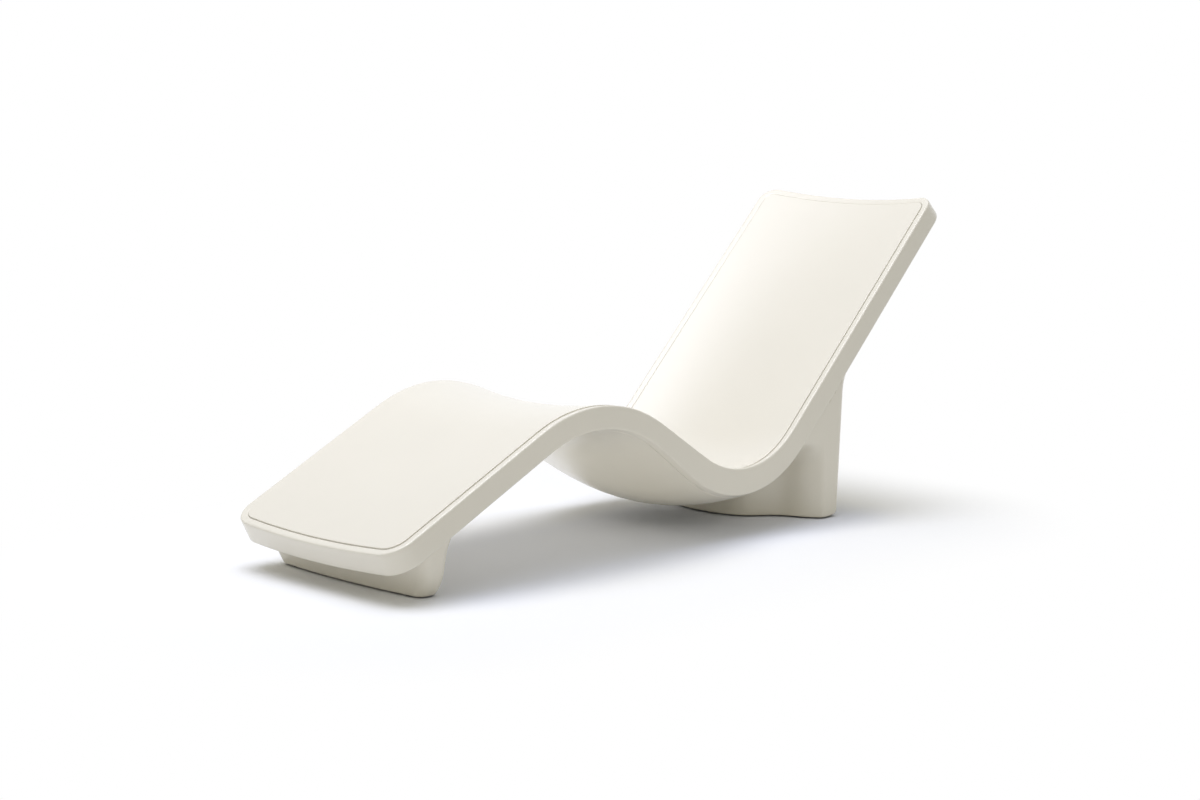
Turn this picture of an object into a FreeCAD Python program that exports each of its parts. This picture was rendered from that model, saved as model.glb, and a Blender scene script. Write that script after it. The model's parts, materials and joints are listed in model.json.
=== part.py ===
import FreeCAD, Part
import Sketcher
import math
import os
from FreeCAD import Vector, Placement, Rotation

# Relaxation lounger: a moulded, wave-shaped bed on two foot blocks.
# X runs from the foot end to the head end, Y across, Z up. The floor is Z = 0.
# All lengths are in millimetres and all angles in degrees.

SIZES = [
    # The wave: the line of the upper rim, seen from the side
    ("overall_width", 630.0),
    ("foot_end_height", 121.3),
    ("leg_run", 693.2),
    ("thigh_run", 547.9),
    ("back_run", 743.7),
    ("leg_angle", 26.5),
    ("thigh_angle", 33.1),
    ("back_angle", 45.54),
    ("knee_radius", 411.0),
    ("seat_radius", 264.5),
    # How deep the top is dished across its width
    ("foot_dish", 8.0),
    ("knee_dish", 20.0),
    ("seat_dish", 45.0),
    ("head_dish", 34.0),
    # The rim band's depth, square to the rim
    ("rim_depth_foot", 63.0),
    ("rim_depth_leg", 60.0),
    ("rim_depth_knee", 39.3),
    ("rim_depth_seat", 83.7),
    ("rim_depth_lumbar", 66.0),
    ("rim_depth_head", 62.5),
    ("knee_under_tightening", 54.0),
    ("seat_under_easing", 50.5),
    # How far the underside bellies out below the rim band
    ("foot_belly", 6.0),
    ("knee_belly", 45.0),
    ("seat_belly", 54.0),
    ("head_belly", 8.0),
    # Plan shape of the two ends
    ("foot_bow", 13.0),
    ("head_bow", 1.0),
    ("foot_corner_radius", 68.0),
    ("head_corner_radius", 50.0),
    # Rim band
    ("rim_width", 21.0),
    ("rim_top_rounding", 5.0),
    ("rim_under_rounding", 6.0),
    ("ledge_width", 18.0),
    ("ledge_thickness", 6.0),
    ("ledge_root", 6.0),
    # Top panel and its seal
    ("panel_thickness", 9.5),
    ("panel_stand", 2.4),
    ("seal_width", 1.6),
    ("seal_recess", 0.8),
    # Underside pan
    ("pan_wall", 5.0),
    ("pan_flange_height", 20.0),
    # Stiffening inside
    ("stringer_thickness", 18.0),
    ("stringer_spacing", 514.0),
    ("bulkhead_thickness", 15.0),
    ("core_thickness", 25.0),
    # Front plinth
    ("front_plinth_face", 112.0),
    ("front_plinth_length", 78.0),
    ("front_plinth_width", 534.0),
    ("front_plinth_bow", 12.0),
    ("front_plinth_corner", 28.0),
    ("front_plinth_flare", 28.0),
    # Rear plinth
    ("rear_plinth_nose", 1366.0),
    ("rear_plinth_length", 233.0),
    ("rear_plinth_width", 616.0),
    ("rear_post_length", 59.5),
    ("rear_recess_height", 200.0),
    ("rear_face_lean", 3.2),
    ("rear_face_fillet", 150.0),
    ("rear_corner_radius", 20.0),
    ("post_edge_radius", 10.0),
    # Both plinths
    ("floor_gap", 4.0),
    ("plinth_wall", 7.0),
    ("plinth_roof", 8.0),
    ("plinth_foot_rounding", 5.0),
    # Base plates and their screws
    ("base_plate_height", 24.0),
    ("base_plate_thickness", 12.0),
    ("screw_diameter", 5.0),
    ("screw_length", 28.0),
    ("screw_head_diameter", 10.0),
    ("screw_head_height", 3.0),
    ("screw_post_diameter", 16.0),
    # Bolts that hold the plinths to the pan
    ("bolt_diameter", 8.0),
    ("bolt_length", 45.0),
    ("bolt_head_diameter", 14.0),
    ("bolt_head_height", 5.5),
    ("washer_diameter", 24.0),
    ("washer_thickness", 1.6),
    ("bolt_boss_height", 6.0),
    ("bolt_boss_diameter", 30.0),
    ("fixing_block_width", 60.0),
    ("fixing_block_height", 32.0),
    # Levelling glides
    ("glide_diameter", 40.0),
    ("sole_thickness", 3.0),
    ("cup_rim_height", 3.5),
    ("cup_height", 8.0),
    ("cup_hub_diameter", 22.0),
    ("cup_floor", 3.0),
    ("stem_diameter", 10.0),
    ("stem_length", 46.0),
    ("stem_chamfer", 1.0),
    ("collar_diameter", 17.0),
    ("collar_bottom", 12.0),
    ("collar_thickness", 5.0),
    ("insert_diameter", 14.0),
    ("insert_length", 20.0),
    ("insert_flange_diameter", 28.0),
    ("insert_flange_thickness", 2.0),
    ("front_glide_inset", 39.0),
    ("front_glide_spacing", 430.0),
    ("rear_glide_inset", 43.0),
    ("rear_glide_spacing", 524.0),
    ("rear_screw_inset", 21.25),
    # Clearances
    ("fit", 0.05),
    ("seat_clearance", 0.2),
    ("joint_clearance", 0.3),
    ("hole_clearance", 0.5),
    ("overrun", 60.0),
    # How near an edge lies to a surface that it belongs to, and how sharp an edge is rounded
    ("surface_tolerance", 1.0),
    ("sharp_bend", 26.0),
]

os.makedirs("parts", exist_ok=True)
doc = FreeCAD.newDocument("Lounger")
sheet = doc.addObject("Spreadsheet::Sheet", "Sizes")


def put_size(row, name, value):
    """Write one size in the sheet, with its name as the cell's alias."""
    sheet.set("A%d" % row, name)
    sheet.set("B%d" % row, str(value))
    sheet.setAlias("B%d" % row, name)


for row, (name, value) in enumerate(SIZES, start=1):
    put_size(row, name, value)
doc.recompute()


def size(name):
    """One size from the sheet."""
    return float(sheet.get(name))


HALF_WIDTH = size("overall_width") / 2
EXPORTS = []


class Wave:
    """A side profile: three straight runs joined by two tangent arcs."""

    def __init__(self, foot, knee, seat, head, knee_radius, seat_radius):
        self.foot = foot
        self.knee = knee
        self.seat = seat
        self.head = head
        self.knee_radius = knee_radius
        self.seat_radius = seat_radius

    def run(self, start, end):
        """The direction of a run."""
        return (end - start).normalize()

    def leg(self):
        return self.run(self.foot, self.knee)

    def thigh(self):
        return self.run(self.knee, self.seat)

    def back(self):
        return self.run(self.seat, self.head)


def below(run):
    """The direction square to a run, away from the sitter."""
    return Vector(run.z, 0, -run.x)


def crossing(point, run, other_point, other_run):
    """Where two lines in the XZ plane cross."""
    gap = other_point - point
    turn = run.x * other_run.z - run.z * other_run.x
    along = (gap.x * other_run.z - gap.z * other_run.x) / turn
    return point + run * along


def lowered(wave, depths, knee_change=0.0, seat_change=0.0):
    """The profile with each run moved away from the sitter, by a depth at each of its ends.

    depths are leg at foot, leg at knee, thigh at knee, thigh at seat, back at seat, back at head.
    """
    leg_foot, leg_knee, thigh_knee, thigh_seat, back_seat, back_head = depths
    leg, thigh, back = below(wave.leg()), below(wave.thigh()), below(wave.back())
    foot = wave.foot + leg * leg_foot
    head = wave.head + back * back_head
    knee_from_leg = wave.knee + leg * leg_knee
    knee_from_thigh = wave.knee + thigh * thigh_knee
    seat_from_thigh = wave.seat + thigh * thigh_seat
    seat_from_back = wave.seat + back * back_seat
    leg_line = (knee_from_leg - foot).normalize()
    thigh_line = (seat_from_thigh - knee_from_thigh).normalize()
    back_line = (head - seat_from_back).normalize()
    knee = crossing(foot, leg_line, knee_from_thigh, thigh_line)
    seat = crossing(knee_from_thigh, thigh_line, seat_from_back, back_line)
    return Wave(foot, knee, seat, head, wave.knee_radius + knee_change, wave.seat_radius + seat_change)


def raised(wave, rise):
    """The profile moved straight up."""
    points = [point + Vector(0, 0, rise) for point in (wave.foot, wave.knee, wave.seat, wave.head)]
    return Wave(*points, wave.knee_radius, wave.seat_radius)


def offset(wave, depth):
    """The profile at one even depth below another."""
    return lowered(wave, [depth] * 6, -depth, depth)


def rim_profile():
    """The sharp upper edge of the rim, seen from the side."""
    foot = Vector(0, 0, size("foot_end_height"))
    knee = foot + Vector(1, 0, math.tan(math.radians(size("leg_angle")))) * size("leg_run")
    seat = knee + Vector(1, 0, -math.tan(math.radians(size("thigh_angle")))) * size("thigh_run")
    head = seat + Vector(1, 0, math.tan(math.radians(size("back_angle")))) * size("back_run")
    return Wave(foot, knee, seat, head, size("knee_radius"), size("seat_radius"))


RIM = rim_profile()


def fullness(y):
    """The share of the dish or belly at a place across the width: 1 in the middle, 0 at the rim."""
    return 1 - (y / HALF_WIDTH) ** 2


def bulge(kind, y):
    """The dish or belly at a place across the width, at each end of each run of the wave."""
    stretches = ("foot", "knee", "knee", "seat", "seat", "head")
    return [size("%s_%s" % (stretch, kind)) * fullness(y) for stretch in stretches]


def top_profile(y, depth=0.0):
    """The upper surface at a place across the width, or a surface at a depth below it."""
    return offset(lowered(RIM, bulge("dish", y)), depth)


def under_profile(y, depth=0.0):
    """The underside at a place across the width, or a surface at a depth below it."""
    band = (size("rim_depth_foot"), size("rim_depth_leg"), size("rim_depth_knee"),
            size("rim_depth_seat"), size("rim_depth_lumbar"), size("rim_depth_head"))
    edge = lowered(RIM, band, -size("knee_under_tightening"), size("seat_under_easing"))
    return offset(lowered(edge, bulge("belly", y)), depth)


def arc_points(corner, before, after, radius):
    """Start, middle and end of the arc that rounds a corner of a profile."""
    half_turn = before.getAngle(after) / 2
    reach = radius * math.tan(half_turn)
    start = corner - before * reach
    end = corner + after * reach
    inward = (after - before).normalize()
    middle = corner + inward * (radius / math.cos(half_turn) - radius)
    return start, middle, end


def profile_edges(wave, y, backwards=False):
    """The five edges of a profile at a place across the width, run on past both ends."""
    spare = size("overrun")
    leg, thigh, back = wave.leg(), wave.thigh(), wave.back()
    points = [wave.foot - leg * spare]
    points += arc_points(wave.knee, leg, thigh, wave.knee_radius)
    points += arc_points(wave.seat, thigh, back, wave.seat_radius)
    points += [wave.head + back * spare]
    points = [Vector(p.x, y, p.z) for p in points]
    if backwards:
        points.reverse()
    start, a1, a2, a3, b1, b2, b3, end = points
    return [
        Part.makeLine(start, a1),
        Part.Arc(a1, a2, a3).toShape(),
        Part.makeLine(a3, b1),
        Part.Arc(b1, b2, b3).toShape(),
        Part.makeLine(b3, end),
    ]


def section(upper, lower, y):
    """The closed outline between two profiles at a place across the width."""
    above = profile_edges(upper, y)
    beneath = profile_edges(lower, y, backwards=True)
    head_line = Part.makeLine(above[-1].Vertexes[-1].Point, beneath[0].Vertexes[0].Point)
    foot_line = Part.makeLine(beneath[-1].Vertexes[-1].Point, above[0].Vertexes[0].Point)
    return Part.Wire(above + [head_line] + beneath + [foot_line])


def layer(upper, lower, reach):
    """The solid between two surfaces, each given as a function of the place across the width."""
    stations = (-reach, 0.0, reach)
    return Part.makeLoft([section(upper(y), lower(y), y) for y in stations], True, False)


def at_top(depth):
    """The surface at a depth below the top."""
    return lambda y: top_profile(y, depth)


def at_underside(depth):
    """The surface at a depth below the underside; a depth under zero lies inside."""
    return lambda y: under_profile(y, depth)


def extruded(wire, direction):
    """The solid swept by a flat closed wire."""
    return Part.Face(wire).extrude(direction)


def end_cutter(corner, inward, upward, bow, corner_radius, inset):
    """What is cut away outside the bowed, round-cornered outline of one end."""
    across = Vector(0, 1, 0)
    reach = 2 * size("overrun") + size("seat_belly") + size("rim_depth_seat")
    spare = 2 * size("overrun")
    bow_radius = (HALF_WIDTH ** 2 + bow ** 2) / (2 * bow)
    corner_across = HALF_WIDTH - corner_radius
    corner_along = bow_radius - math.sqrt((bow_radius - corner_radius) ** 2 - corner_across ** 2)
    lean = math.asin(corner_across / (bow_radius - corner_radius))
    edge = HALF_WIDTH - inset
    radius = corner_radius - inset

    def place(along, sideways):
        return corner + inward * along + across * sideways - upward * reach

    def corner_point(angle, side):
        sideways = side * (corner_across + radius * math.sin(angle))
        return place(corner_along - radius * math.cos(angle), sideways)

    bow_start = corner_point(lean, 1)
    bow_end = corner_point(lean, -1)
    half = (lean + math.pi / 2) / 2
    wire = Part.Wire([
        Part.Arc(corner_point(math.pi / 2, 1), corner_point(half, 1), bow_start).toShape(),
        Part.Arc(bow_start, place(inset, 0), bow_end).toShape(),
        Part.Arc(bow_end, corner_point(half, -1), corner_point(math.pi / 2, -1)).toShape(),
        Part.makeLine(place(corner_along, -edge), place(corner_along, -edge - spare)),
        Part.makeLine(place(corner_along, -edge - spare), place(-spare, -edge - spare)),
        Part.makeLine(place(-spare, -edge - spare), place(-spare, edge + spare)),
        Part.makeLine(place(-spare, edge + spare), place(corner_along, edge + spare)),
        Part.makeLine(place(corner_along, edge + spare), place(corner_along, edge)),
    ])
    return extruded(wire, upward * (2 * reach))


def trimmed(solid, inset):
    """The solid inside the plan outline, at an inset from the outer edge."""
    leg, back = RIM.leg(), RIM.back()
    foot_radius, head_radius = size("foot_corner_radius"), size("head_corner_radius")
    foot = end_cutter(RIM.foot, leg, below(leg) * -1, size("foot_bow"), foot_radius, inset)
    head = end_cutter(RIM.head, back * -1, below(back) * -1, size("head_bow"), head_radius, inset)
    return solid.cut([foot, head])


def inside(inset):
    """Everything inside the plan outline at an inset, well above and below the body."""
    high = offset(RIM, -size("overrun"))
    low = under_profile(HALF_WIDTH, size("seat_belly") + size("overrun") / 2)
    edge = HALF_WIDTH - inset
    prism = extruded(section(high, low, -edge), Vector(0, 2 * edge, 0))
    return trimmed(prism, inset)


def profile_height(wave, x):
    """The height of a profile at a place along the length."""
    leg, thigh, back = wave.leg(), wave.thigh(), wave.back()
    knee = arc_points(wave.knee, leg, thigh, wave.knee_radius)
    seat = arc_points(wave.seat, thigh, back, wave.seat_radius)
    if x < knee[0].x:
        return wave.foot.z + leg.z / leg.x * (x - wave.foot.x)
    if x < knee[2].x:
        centre = knee[0] + below(leg) * wave.knee_radius
        return centre.z + math.sqrt(wave.knee_radius ** 2 - (x - centre.x) ** 2)
    if x < seat[0].x:
        return wave.knee.z + thigh.z / thigh.x * (x - wave.knee.x)
    if x < seat[2].x:
        centre = seat[0] - below(thigh) * wave.seat_radius
        return centre.z - math.sqrt(wave.seat_radius ** 2 - (x - centre.x) ** 2)
    return wave.head.z + back.z / back.x * (x - wave.head.x)


def sharp_edges(solid, surface, tolerance):
    """The sharp edges of a solid that lie on one of its two main surfaces."""
    found = []
    for edge in solid.Edges:
        middle = edge.valueAt((edge.FirstParameter + edge.LastParameter) / 2)
        if abs(profile_height(surface(middle.y), middle.x) - middle.z) > tolerance:
            continue
        faces = solid.ancestorsOfType(edge, Part.Face)
        if len(faces) != 2:
            continue
        normals = [face.normalAt(*face.Surface.parameter(middle)) for face in faces]
        bend = normals[0].getAngle(normals[1])
        if math.degrees(min(bend, math.pi - bend)) > size("sharp_bend"):
            found.append(edge)
    return found


def outer_block():
    """The body's outer form, solid right through, with its rounded edges."""
    solid = trimmed(layer(at_top(0), at_underside(0), HALF_WIDTH), 0)
    tolerance = size("surface_tolerance")
    top = sharp_edges(solid, at_top(0), tolerance)
    solid = solid.makeFillet(size("rim_top_rounding"), top)
    under = sharp_edges(solid, at_underside(0), tolerance)
    return solid.makeFillet(size("rim_under_rounding"), under)


def publish(name, shape):
    """Add a finished solid to the document under its own name."""
    piece = doc.addObject("Part::Feature", name)
    piece.Label = name
    piece.Shape = shape
    piece.Placement = Placement(Vector(-MIDDLE, 0, 0), Rotation())
    EXPORTS.append(piece)


def ring(solid, outer_inset, inner_inset):
    """The part of a solid between two insets from the plan outline."""
    return solid.common(inside(outer_inset)).cut(inside(inner_inset))


BLOCK = outer_block()
BOX = BLOCK.optimalBoundingBox()
MIDDLE = (BOX.XMin + BOX.XMax) / 2

RIM_WIDTH = size("rim_width")
CLEAR = size("seat_clearance")
GAP = size("joint_clearance")
PANEL_DEPTH = size("panel_thickness") - size("panel_stand")
LEDGE_TOP = PANEL_DEPTH + CLEAR
CORE_TOP = PANEL_DEPTH + GAP
PAN_INSIDE = -(size("pan_wall") + GAP)
STRINGER_FACE = (size("stringer_spacing") - size("stringer_thickness")) / 2


def rim_band():
    """The band all round, with the inner ledge that the top panel lies on."""
    band = BLOCK.cut(inside(RIM_WIDTH))
    strip = layer(at_top(LEDGE_TOP), at_top(LEDGE_TOP + size("ledge_thickness")), HALF_WIDTH)
    ledge = ring(strip, RIM_WIDTH - size("ledge_root"), RIM_WIDTH + size("ledge_width"))
    return band.fuse(ledge)


def seat_panel():
    """The dished panel that is let into the rim band and stands a little above it."""
    strip = layer(at_top(-size("panel_stand")), at_top(PANEL_DEPTH), HALF_WIDTH)
    return strip.common(inside(RIM_WIDTH + size("seal_width")))


def panel_seal():
    """The thin strip that fills the joint between panel and band."""
    strip = layer(at_top(size("seal_recess")), at_top(PANEL_DEPTH), HALF_WIDTH)
    return ring(strip, RIM_WIDTH + CLEAR / 2, RIM_WIDTH + size("seal_width") - CLEAR / 2)


def bolt_places():
    """Each plinth bolt: its place on the underside and the direction it points in, into the body."""
    places = []
    for plinth, rows in bolt_rows().items():
        for x, half_spacing in rows:
            for y in (-half_spacing, half_spacing):
                surface = under_profile(y)
                run = surface.leg() if plinth == "front" else surface.back()
                up = below(run) * -1
                slope = sideways_slope(x, y)
                up = Vector(up.x, -slope * up.z, up.z).normalize()
                places.append((plinth, Vector(x, y, profile_height(surface, x)), up))
    return places


def sideways_slope(x, y):
    """How steeply the underside rises to the side."""
    step = size("joint_clearance")
    rise = profile_height(under_profile(y + step), x) - profile_height(under_profile(y - step), x)
    return rise / (2 * step)


def rod(place, direction, radius, start, end):
    """A round bar along a direction, from start to end past its place."""
    return Part.makeCylinder(radius, end - start, place + direction * start, direction)


# Each pair of plinth bolts: a share of the plinth's length from its front, and a share of the glide
# spacing to each side of the middle.
FRONT_BOLT_SHARES = [(0.5, 0.2)]
REAR_BOLT_SHARES = [(0.3, 0.11), (0.68, 0.25)]


def bolt_rows():
    """Where each pair of bolts stands along the length, and how far from the middle."""
    front, front_length = size("front_plinth_face"), size("front_plinth_length")
    rear, rear_length = size("rear_plinth_nose"), size("rear_plinth_length")
    front_spacing, rear_spacing = size("front_glide_spacing"), size("rear_glide_spacing")
    return {
        "front": [(front + front_length * ahead, front_spacing * aside)
                  for ahead, aside in FRONT_BOLT_SHARES],
        "rear": [(rear + rear_length * ahead, rear_spacing * aside)
                 for ahead, aside in REAR_BOLT_SHARES],
    }


BOLTS = bolt_places()
BOLT_HOLE = size("bolt_diameter") / 2 + size("hole_clearance")
BOLT_SEAT = GAP + size("plinth_roof") + size("bolt_boss_height")


def underside_pan():
    """The bellied tray below, with an upright flange that is bonded inside the band."""
    rise = size("pan_flange_height")
    tray = layer(at_underside(-rise), at_underside(0), HALF_WIDTH).common(inside(RIM_WIDTH + CLEAR))
    hollow = layer(at_underside(-2 * rise), at_underside(-size("pan_wall")), HALF_WIDTH)
    hollow = hollow.common(inside(RIM_WIDTH + CLEAR + size("pan_wall")))
    holes = [rod(place, up, BOLT_HOLE, -size("overrun"), size("overrun") / 2) for _, place, up in BOLTS]
    return tray.cut([hollow] + holes)


def cavity():
    """The room inside the body, between the panel and the pan."""
    return layer(at_top(CORE_TOP), at_underside(PAN_INSIDE), HALF_WIDTH)


CAVITY = cavity()
END_INSET = RIM_WIDTH + size("ledge_width") + CLEAR


def stringer(side):
    """One of the two wave-shaped rails that stiffen the body from end to end."""
    thickness = size("stringer_thickness")
    near = STRINGER_FACE if side > 0 else -STRINGER_FACE - thickness
    slab = Part.makeBox(BOX.XLength, thickness, BOX.ZLength, Vector(BOX.XMin, near, BOX.ZMin))
    return CAVITY.common(slab).common(inside(END_INSET))


def square_slab(place, run, thickness, half_width):
    """A flat plate standing square to a run of the wave, between the stringers."""
    tall = size("overrun") * 2
    upward = below(run) * -1
    across = Vector(0, 1, 0)
    corner = place - run * (thickness / 2) - across * half_width - upward * tall
    ends = [corner, corner + run * thickness, corner + run * thickness + upward * 2 * tall,
            corner + upward * 2 * tall, corner]
    return extruded(Part.makePolygon(ends), across * (2 * half_width))


# Where the shin and lumbar bulkheads stand, as shares of their runs.
SHIN_SHARE = 0.36
LUMBAR_SHARE = 0.52


def bulkhead_places():
    """Where each bulkhead crosses the rim profile, and the run that it stands square to."""
    leg, thigh, back = RIM.leg(), RIM.thigh(), RIM.back()
    level = Vector(1, 0, 0)
    knee = arc_points(RIM.knee, leg, thigh, RIM.knee_radius)[1]
    seat = arc_points(RIM.seat, thigh, back, RIM.seat_radius)[1]
    end = END_INSET + size("bulkhead_thickness") / 2
    return [
        ("foot_bulkhead", RIM.foot + leg * (end + size("foot_bow")), leg),
        ("shin_bulkhead", RIM.foot + leg * (RIM.knee - RIM.foot).Length * SHIN_SHARE, leg),
        ("knee_bulkhead", knee, level),
        ("seat_bulkhead", seat, level),
        ("lumbar_bulkhead", RIM.seat + back * (RIM.head - RIM.seat).Length * LUMBAR_SHARE, back),
        ("head_bulkhead", RIM.head - back * (end + size("head_bow")), back),
    ]


BULKHEADS = bulkhead_places()


def bulkhead(place, run):
    """One cross plate, from panel to pan."""
    half = STRINGER_FACE - GAP
    return CAVITY.common(square_slab(place, run, size("bulkhead_thickness"), half))


CORE_NAMES = ("shin_core", "calf_core", "thigh_core", "lumbar_core", "shoulder_core")


def cores():
    """The foam boards under the panel, one in each bay, cut out round the fixing blocks."""
    thick = size("core_thickness")
    half = STRINGER_FACE - GAP
    board = layer(at_top(CORE_TOP), at_top(CORE_TOP + thick), half)
    slots = [square_slab(place, run, size("bulkhead_thickness") + 2 * GAP, half + GAP)
             for _, place, run in BULKHEADS]
    block_reach = size("fixing_block_width") / 2 + GAP
    high = 2 * size("overrun")
    holes = [rod(place, up, block_reach, -size("overrun"), high) for _, place, up in BOLTS]
    bays = board.cut(slots + holes).Solids
    bays = sorted(bays, key=lambda bay: bay.CenterOfMass.x)
    return bays[1:-1]


def fixing_blocks():
    """The threaded blocks on the pan that the plinth bolts screw into."""
    half = size("fixing_block_width") / 2
    block_top = at_underside(PAN_INSIDE - size("fixing_block_height"))
    zone = layer(block_top, at_underside(PAN_INSIDE), HALF_WIDTH)
    blocks = {"front": [], "rear": []}
    for plinth, place, up in BOLTS:
        round_block = rod(place, up, half, -size("overrun"), 2 * size("overrun"))
        thread = size("bolt_diameter") / 2 + size("fit")
        hole = rod(place, up, thread, -size("overrun"), 2 * size("overrun"))
        blocks[plinth].append(zone.common(round_block).cut(hole))
    return blocks


def cut_each(solid, tools):
    """A solid with each tool taken out in turn."""
    for tool in tools:
        solid = solid.cut(tool)
    return solid


def everything_above(gap):
    """All that lies above the underside, and a gap below it."""
    high = raised(RIM, size("rear_plinth_width"))
    return layer(lambda y: high, at_underside(gap), HALF_WIDTH + size("overrun"))


# Height above the floor, then how far the face, back and sides flare out, as shares.
FRONT_FLARE_SHARES = [
    (0.0, 0.0, 0.0, 0.0),
    (0.18, 0.12, 0.0, 0.60),
    (0.45, 0.30, 0.0, 1.10),
    (0.80, 0.55, 0.12, 1.30),
    (1.05, 0.75, 0.45, 1.36),
    (1.35, 0.95, 1.40, 1.40),
]


def front_plinth_form(inset):
    """The front plinth's outer form, or one at an inset inside it."""
    face = size("front_plinth_face") + inset
    back = size("front_plinth_face") + size("front_plinth_length") - inset
    half = size("front_plinth_width") / 2 - inset
    corner = size("front_plinth_corner") - inset / 2
    flare = size("front_plinth_flare")
    wires = []
    for height_share, face_share, back_share, half_share in FRONT_FLARE_SHARES:
        height = size("floor_gap") - inset + size("foot_end_height") * height_share
        wires.append(front_outline(
            height,
            face - flare * face_share,
            back + flare * back_share,
            half + flare * half_share,
            corner,
        ))
    return Part.makeLoft(wires, True, False)


def front_outline(height, face, back, half, corner):
    """One level outline of the front plinth, with a bowed face and round corners."""
    bow = size("front_plinth_bow")
    side = face + bow
    cut = corner * (1 - math.sqrt(0.5))

    def at(x, y):
        return Vector(x, y, height)

    return Part.Wire([
        Part.Arc(at(side, half - corner), at(face, 0), at(side, corner - half)).toShape(),
        Part.Arc(at(side, corner - half), at(side + cut, cut - half), at(side + corner, -half)).toShape(),
        Part.makeLine(at(side + corner, -half), at(back - corner, -half)),
        Part.Arc(at(back - corner, -half), at(back - cut, cut - half), at(back, corner - half)).toShape(),
        Part.makeLine(at(back, corner - half), at(back, half - corner)),
        Part.Arc(at(back, half - corner), at(back - cut, half - cut), at(back - corner, half)).toShape(),
        Part.makeLine(at(back - corner, half), at(side + corner, half)),
        Part.Arc(at(side + corner, half), at(side + cut, half - cut), at(side, half - corner)).toShape(),
    ])


# The rear plinth's plan, from the nose to the corner post: shares of its length and half-width.
RECESS_SHARES = [
    (0.0, 0.13),
    (0.053, 0.282),
    (0.146, 0.416),
    (0.38, 0.542),
    (0.614, 0.666),
    (0.75, 0.834),
    (0.87, 0.945),
    (1.05, 1.07),
]


def hollow_side(inset):
    """One side of the rear plinth's plan, swept in from the nose and out again to the corner post."""
    nose = size("rear_plinth_nose")
    half = size("rear_plinth_width") / 2
    post = size("rear_plinth_length") - size("rear_post_length")
    points = [Vector(nose + post * along, half * across, 0) for along, across in RECESS_SHARES]
    tangents = [Vector(0, 1, 0)]
    tangents += [(after - before).normalize() for before, after in zip(points, points[2:])]
    tangents += [(points[-1] - points[-2]).normalize()]
    return [point + Vector(run.y, -run.x, 0) * inset for point, run in zip(points, tangents)]


def smooth_curve(points):
    """A smooth curve through points."""
    curve = Part.BSplineCurve()
    curve.interpolate(points)
    return curve.toShape()


def rear_plan(inset):
    """The level outline of the rear plinth's lower part: a nose, two hollow sides and two posts."""
    side = hollow_side(inset)
    mirrored = [Vector(p.x, -p.y, 0) for p in reversed(side)]
    back = size("rear_plinth_nose") + size("rear_plinth_length") + size("overrun")
    half = side[-1].y
    wire = Part.Wire([
        smooth_curve(mirrored),
        Part.makeLine(mirrored[-1], side[0]),
        smooth_curve(side),
        Part.makeLine(side[-1], Vector(back, half, 0)),
        Part.makeLine(Vector(back, half, 0), Vector(back, -half, 0)),
        Part.makeLine(Vector(back, -half, 0), mirrored[0]),
    ])
    return Part.Face(wire)


def rear_wedge(inset):
    """The rear plinth seen from the side: a leaning rear face that sweeps into the underside."""
    lean = math.radians(size("rear_face_lean"))
    up = Vector(math.sin(lean), 0, math.cos(lean))
    nose = size("rear_plinth_nose") + inset
    half = size("rear_plinth_width") / 2 - inset
    foot = Vector(nose + size("rear_plinth_length") - 2 * inset, 0, size("floor_gap") - inset)
    edge = under_profile(HALF_WIDTH)
    run = edge.back()
    top = crossing(foot, up, edge.seat, run)
    start, middle, end = arc_points(top, up, run, size("rear_face_fillet"))
    high = end + run * size("overrun")
    foot, start, middle, end, high = [Vector(p.x, -half, p.z) for p in (foot, start, middle, end, high)]
    ceiling = Vector(nose, -half, high.z)
    floor = Vector(nose, -half, foot.z)
    wire = Part.Wire([
        Part.makeLine(foot, start),
        Part.Arc(start, middle, end).toShape(),
        Part.makeLine(end, high),
        Part.makeLine(high, ceiling),
        Part.makeLine(ceiling, floor),
        Part.makeLine(floor, foot),
    ])
    wedge = extruded(wire, Vector(0, 2 * half, 0))
    corners = [edge for edge in wedge.Edges if is_rear_corner(edge, half, foot.x)]
    return wedge.makeFillet(size("rear_corner_radius") - inset / 2, corners)


def is_rear_corner(edge, half, rear):
    """Whether an edge is one of the upright ones at the back."""
    first, last = edge.Vertexes[0].Point, edge.Vertexes[-1].Point
    return abs(abs(first.y) - half) < GAP and first.y == last.y and min(first.x, last.x) > rear - GAP


def rear_plinth_form(inset):
    """The rear plinth's outer form, or one at an inset inside it."""
    floor = size("floor_gap") - inset
    height = size("rear_recess_height") + inset
    wedge = rear_wedge(inset)
    plan = rear_plan(inset)
    plan.translate(Vector(0, 0, floor))
    lower = wedge.common(plan.extrude(Vector(0, 0, height - floor)))
    side = size("rear_plinth_width") / 2 - inset
    posts = [edge for edge in lower.Edges if is_post_edge(edge, side)]
    lower = lower.makeFillet(size("post_edge_radius"), posts)
    box = wedge.optimalBoundingBox()
    low_corner = Vector(box.XMin, box.YMin, height)
    upper_block = Part.makeBox(box.XLength, box.YLength, box.ZMax - height, low_corner)
    return lower.fuse(wedge.common(upper_block))


def is_post_edge(edge, side):
    """Whether an edge is the upright one where a hollow side meets its corner post."""
    first, last = edge.Vertexes[0].Point, edge.Vertexes[-1].Point
    upright = abs(first.x - last.x) + abs(first.y - last.y) < GAP and abs(first.z - last.z) > GAP
    return upright and abs(abs(first.y) - side) < GAP


# The base plate screws away from the back edge: shares of the plinth's length and of the glide spacing.
FRONT_SCREW_SHARES = [(0.5, 0.0), (0.5, 0.34), (0.5, -0.34)]
NOSE_SCREW_SHARES = [(0.17, 0.0), (0.42, 0.21), (0.42, -0.21)]
BACK_SCREW_SHARES = [0.34, -0.34, 0.0]


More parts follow.
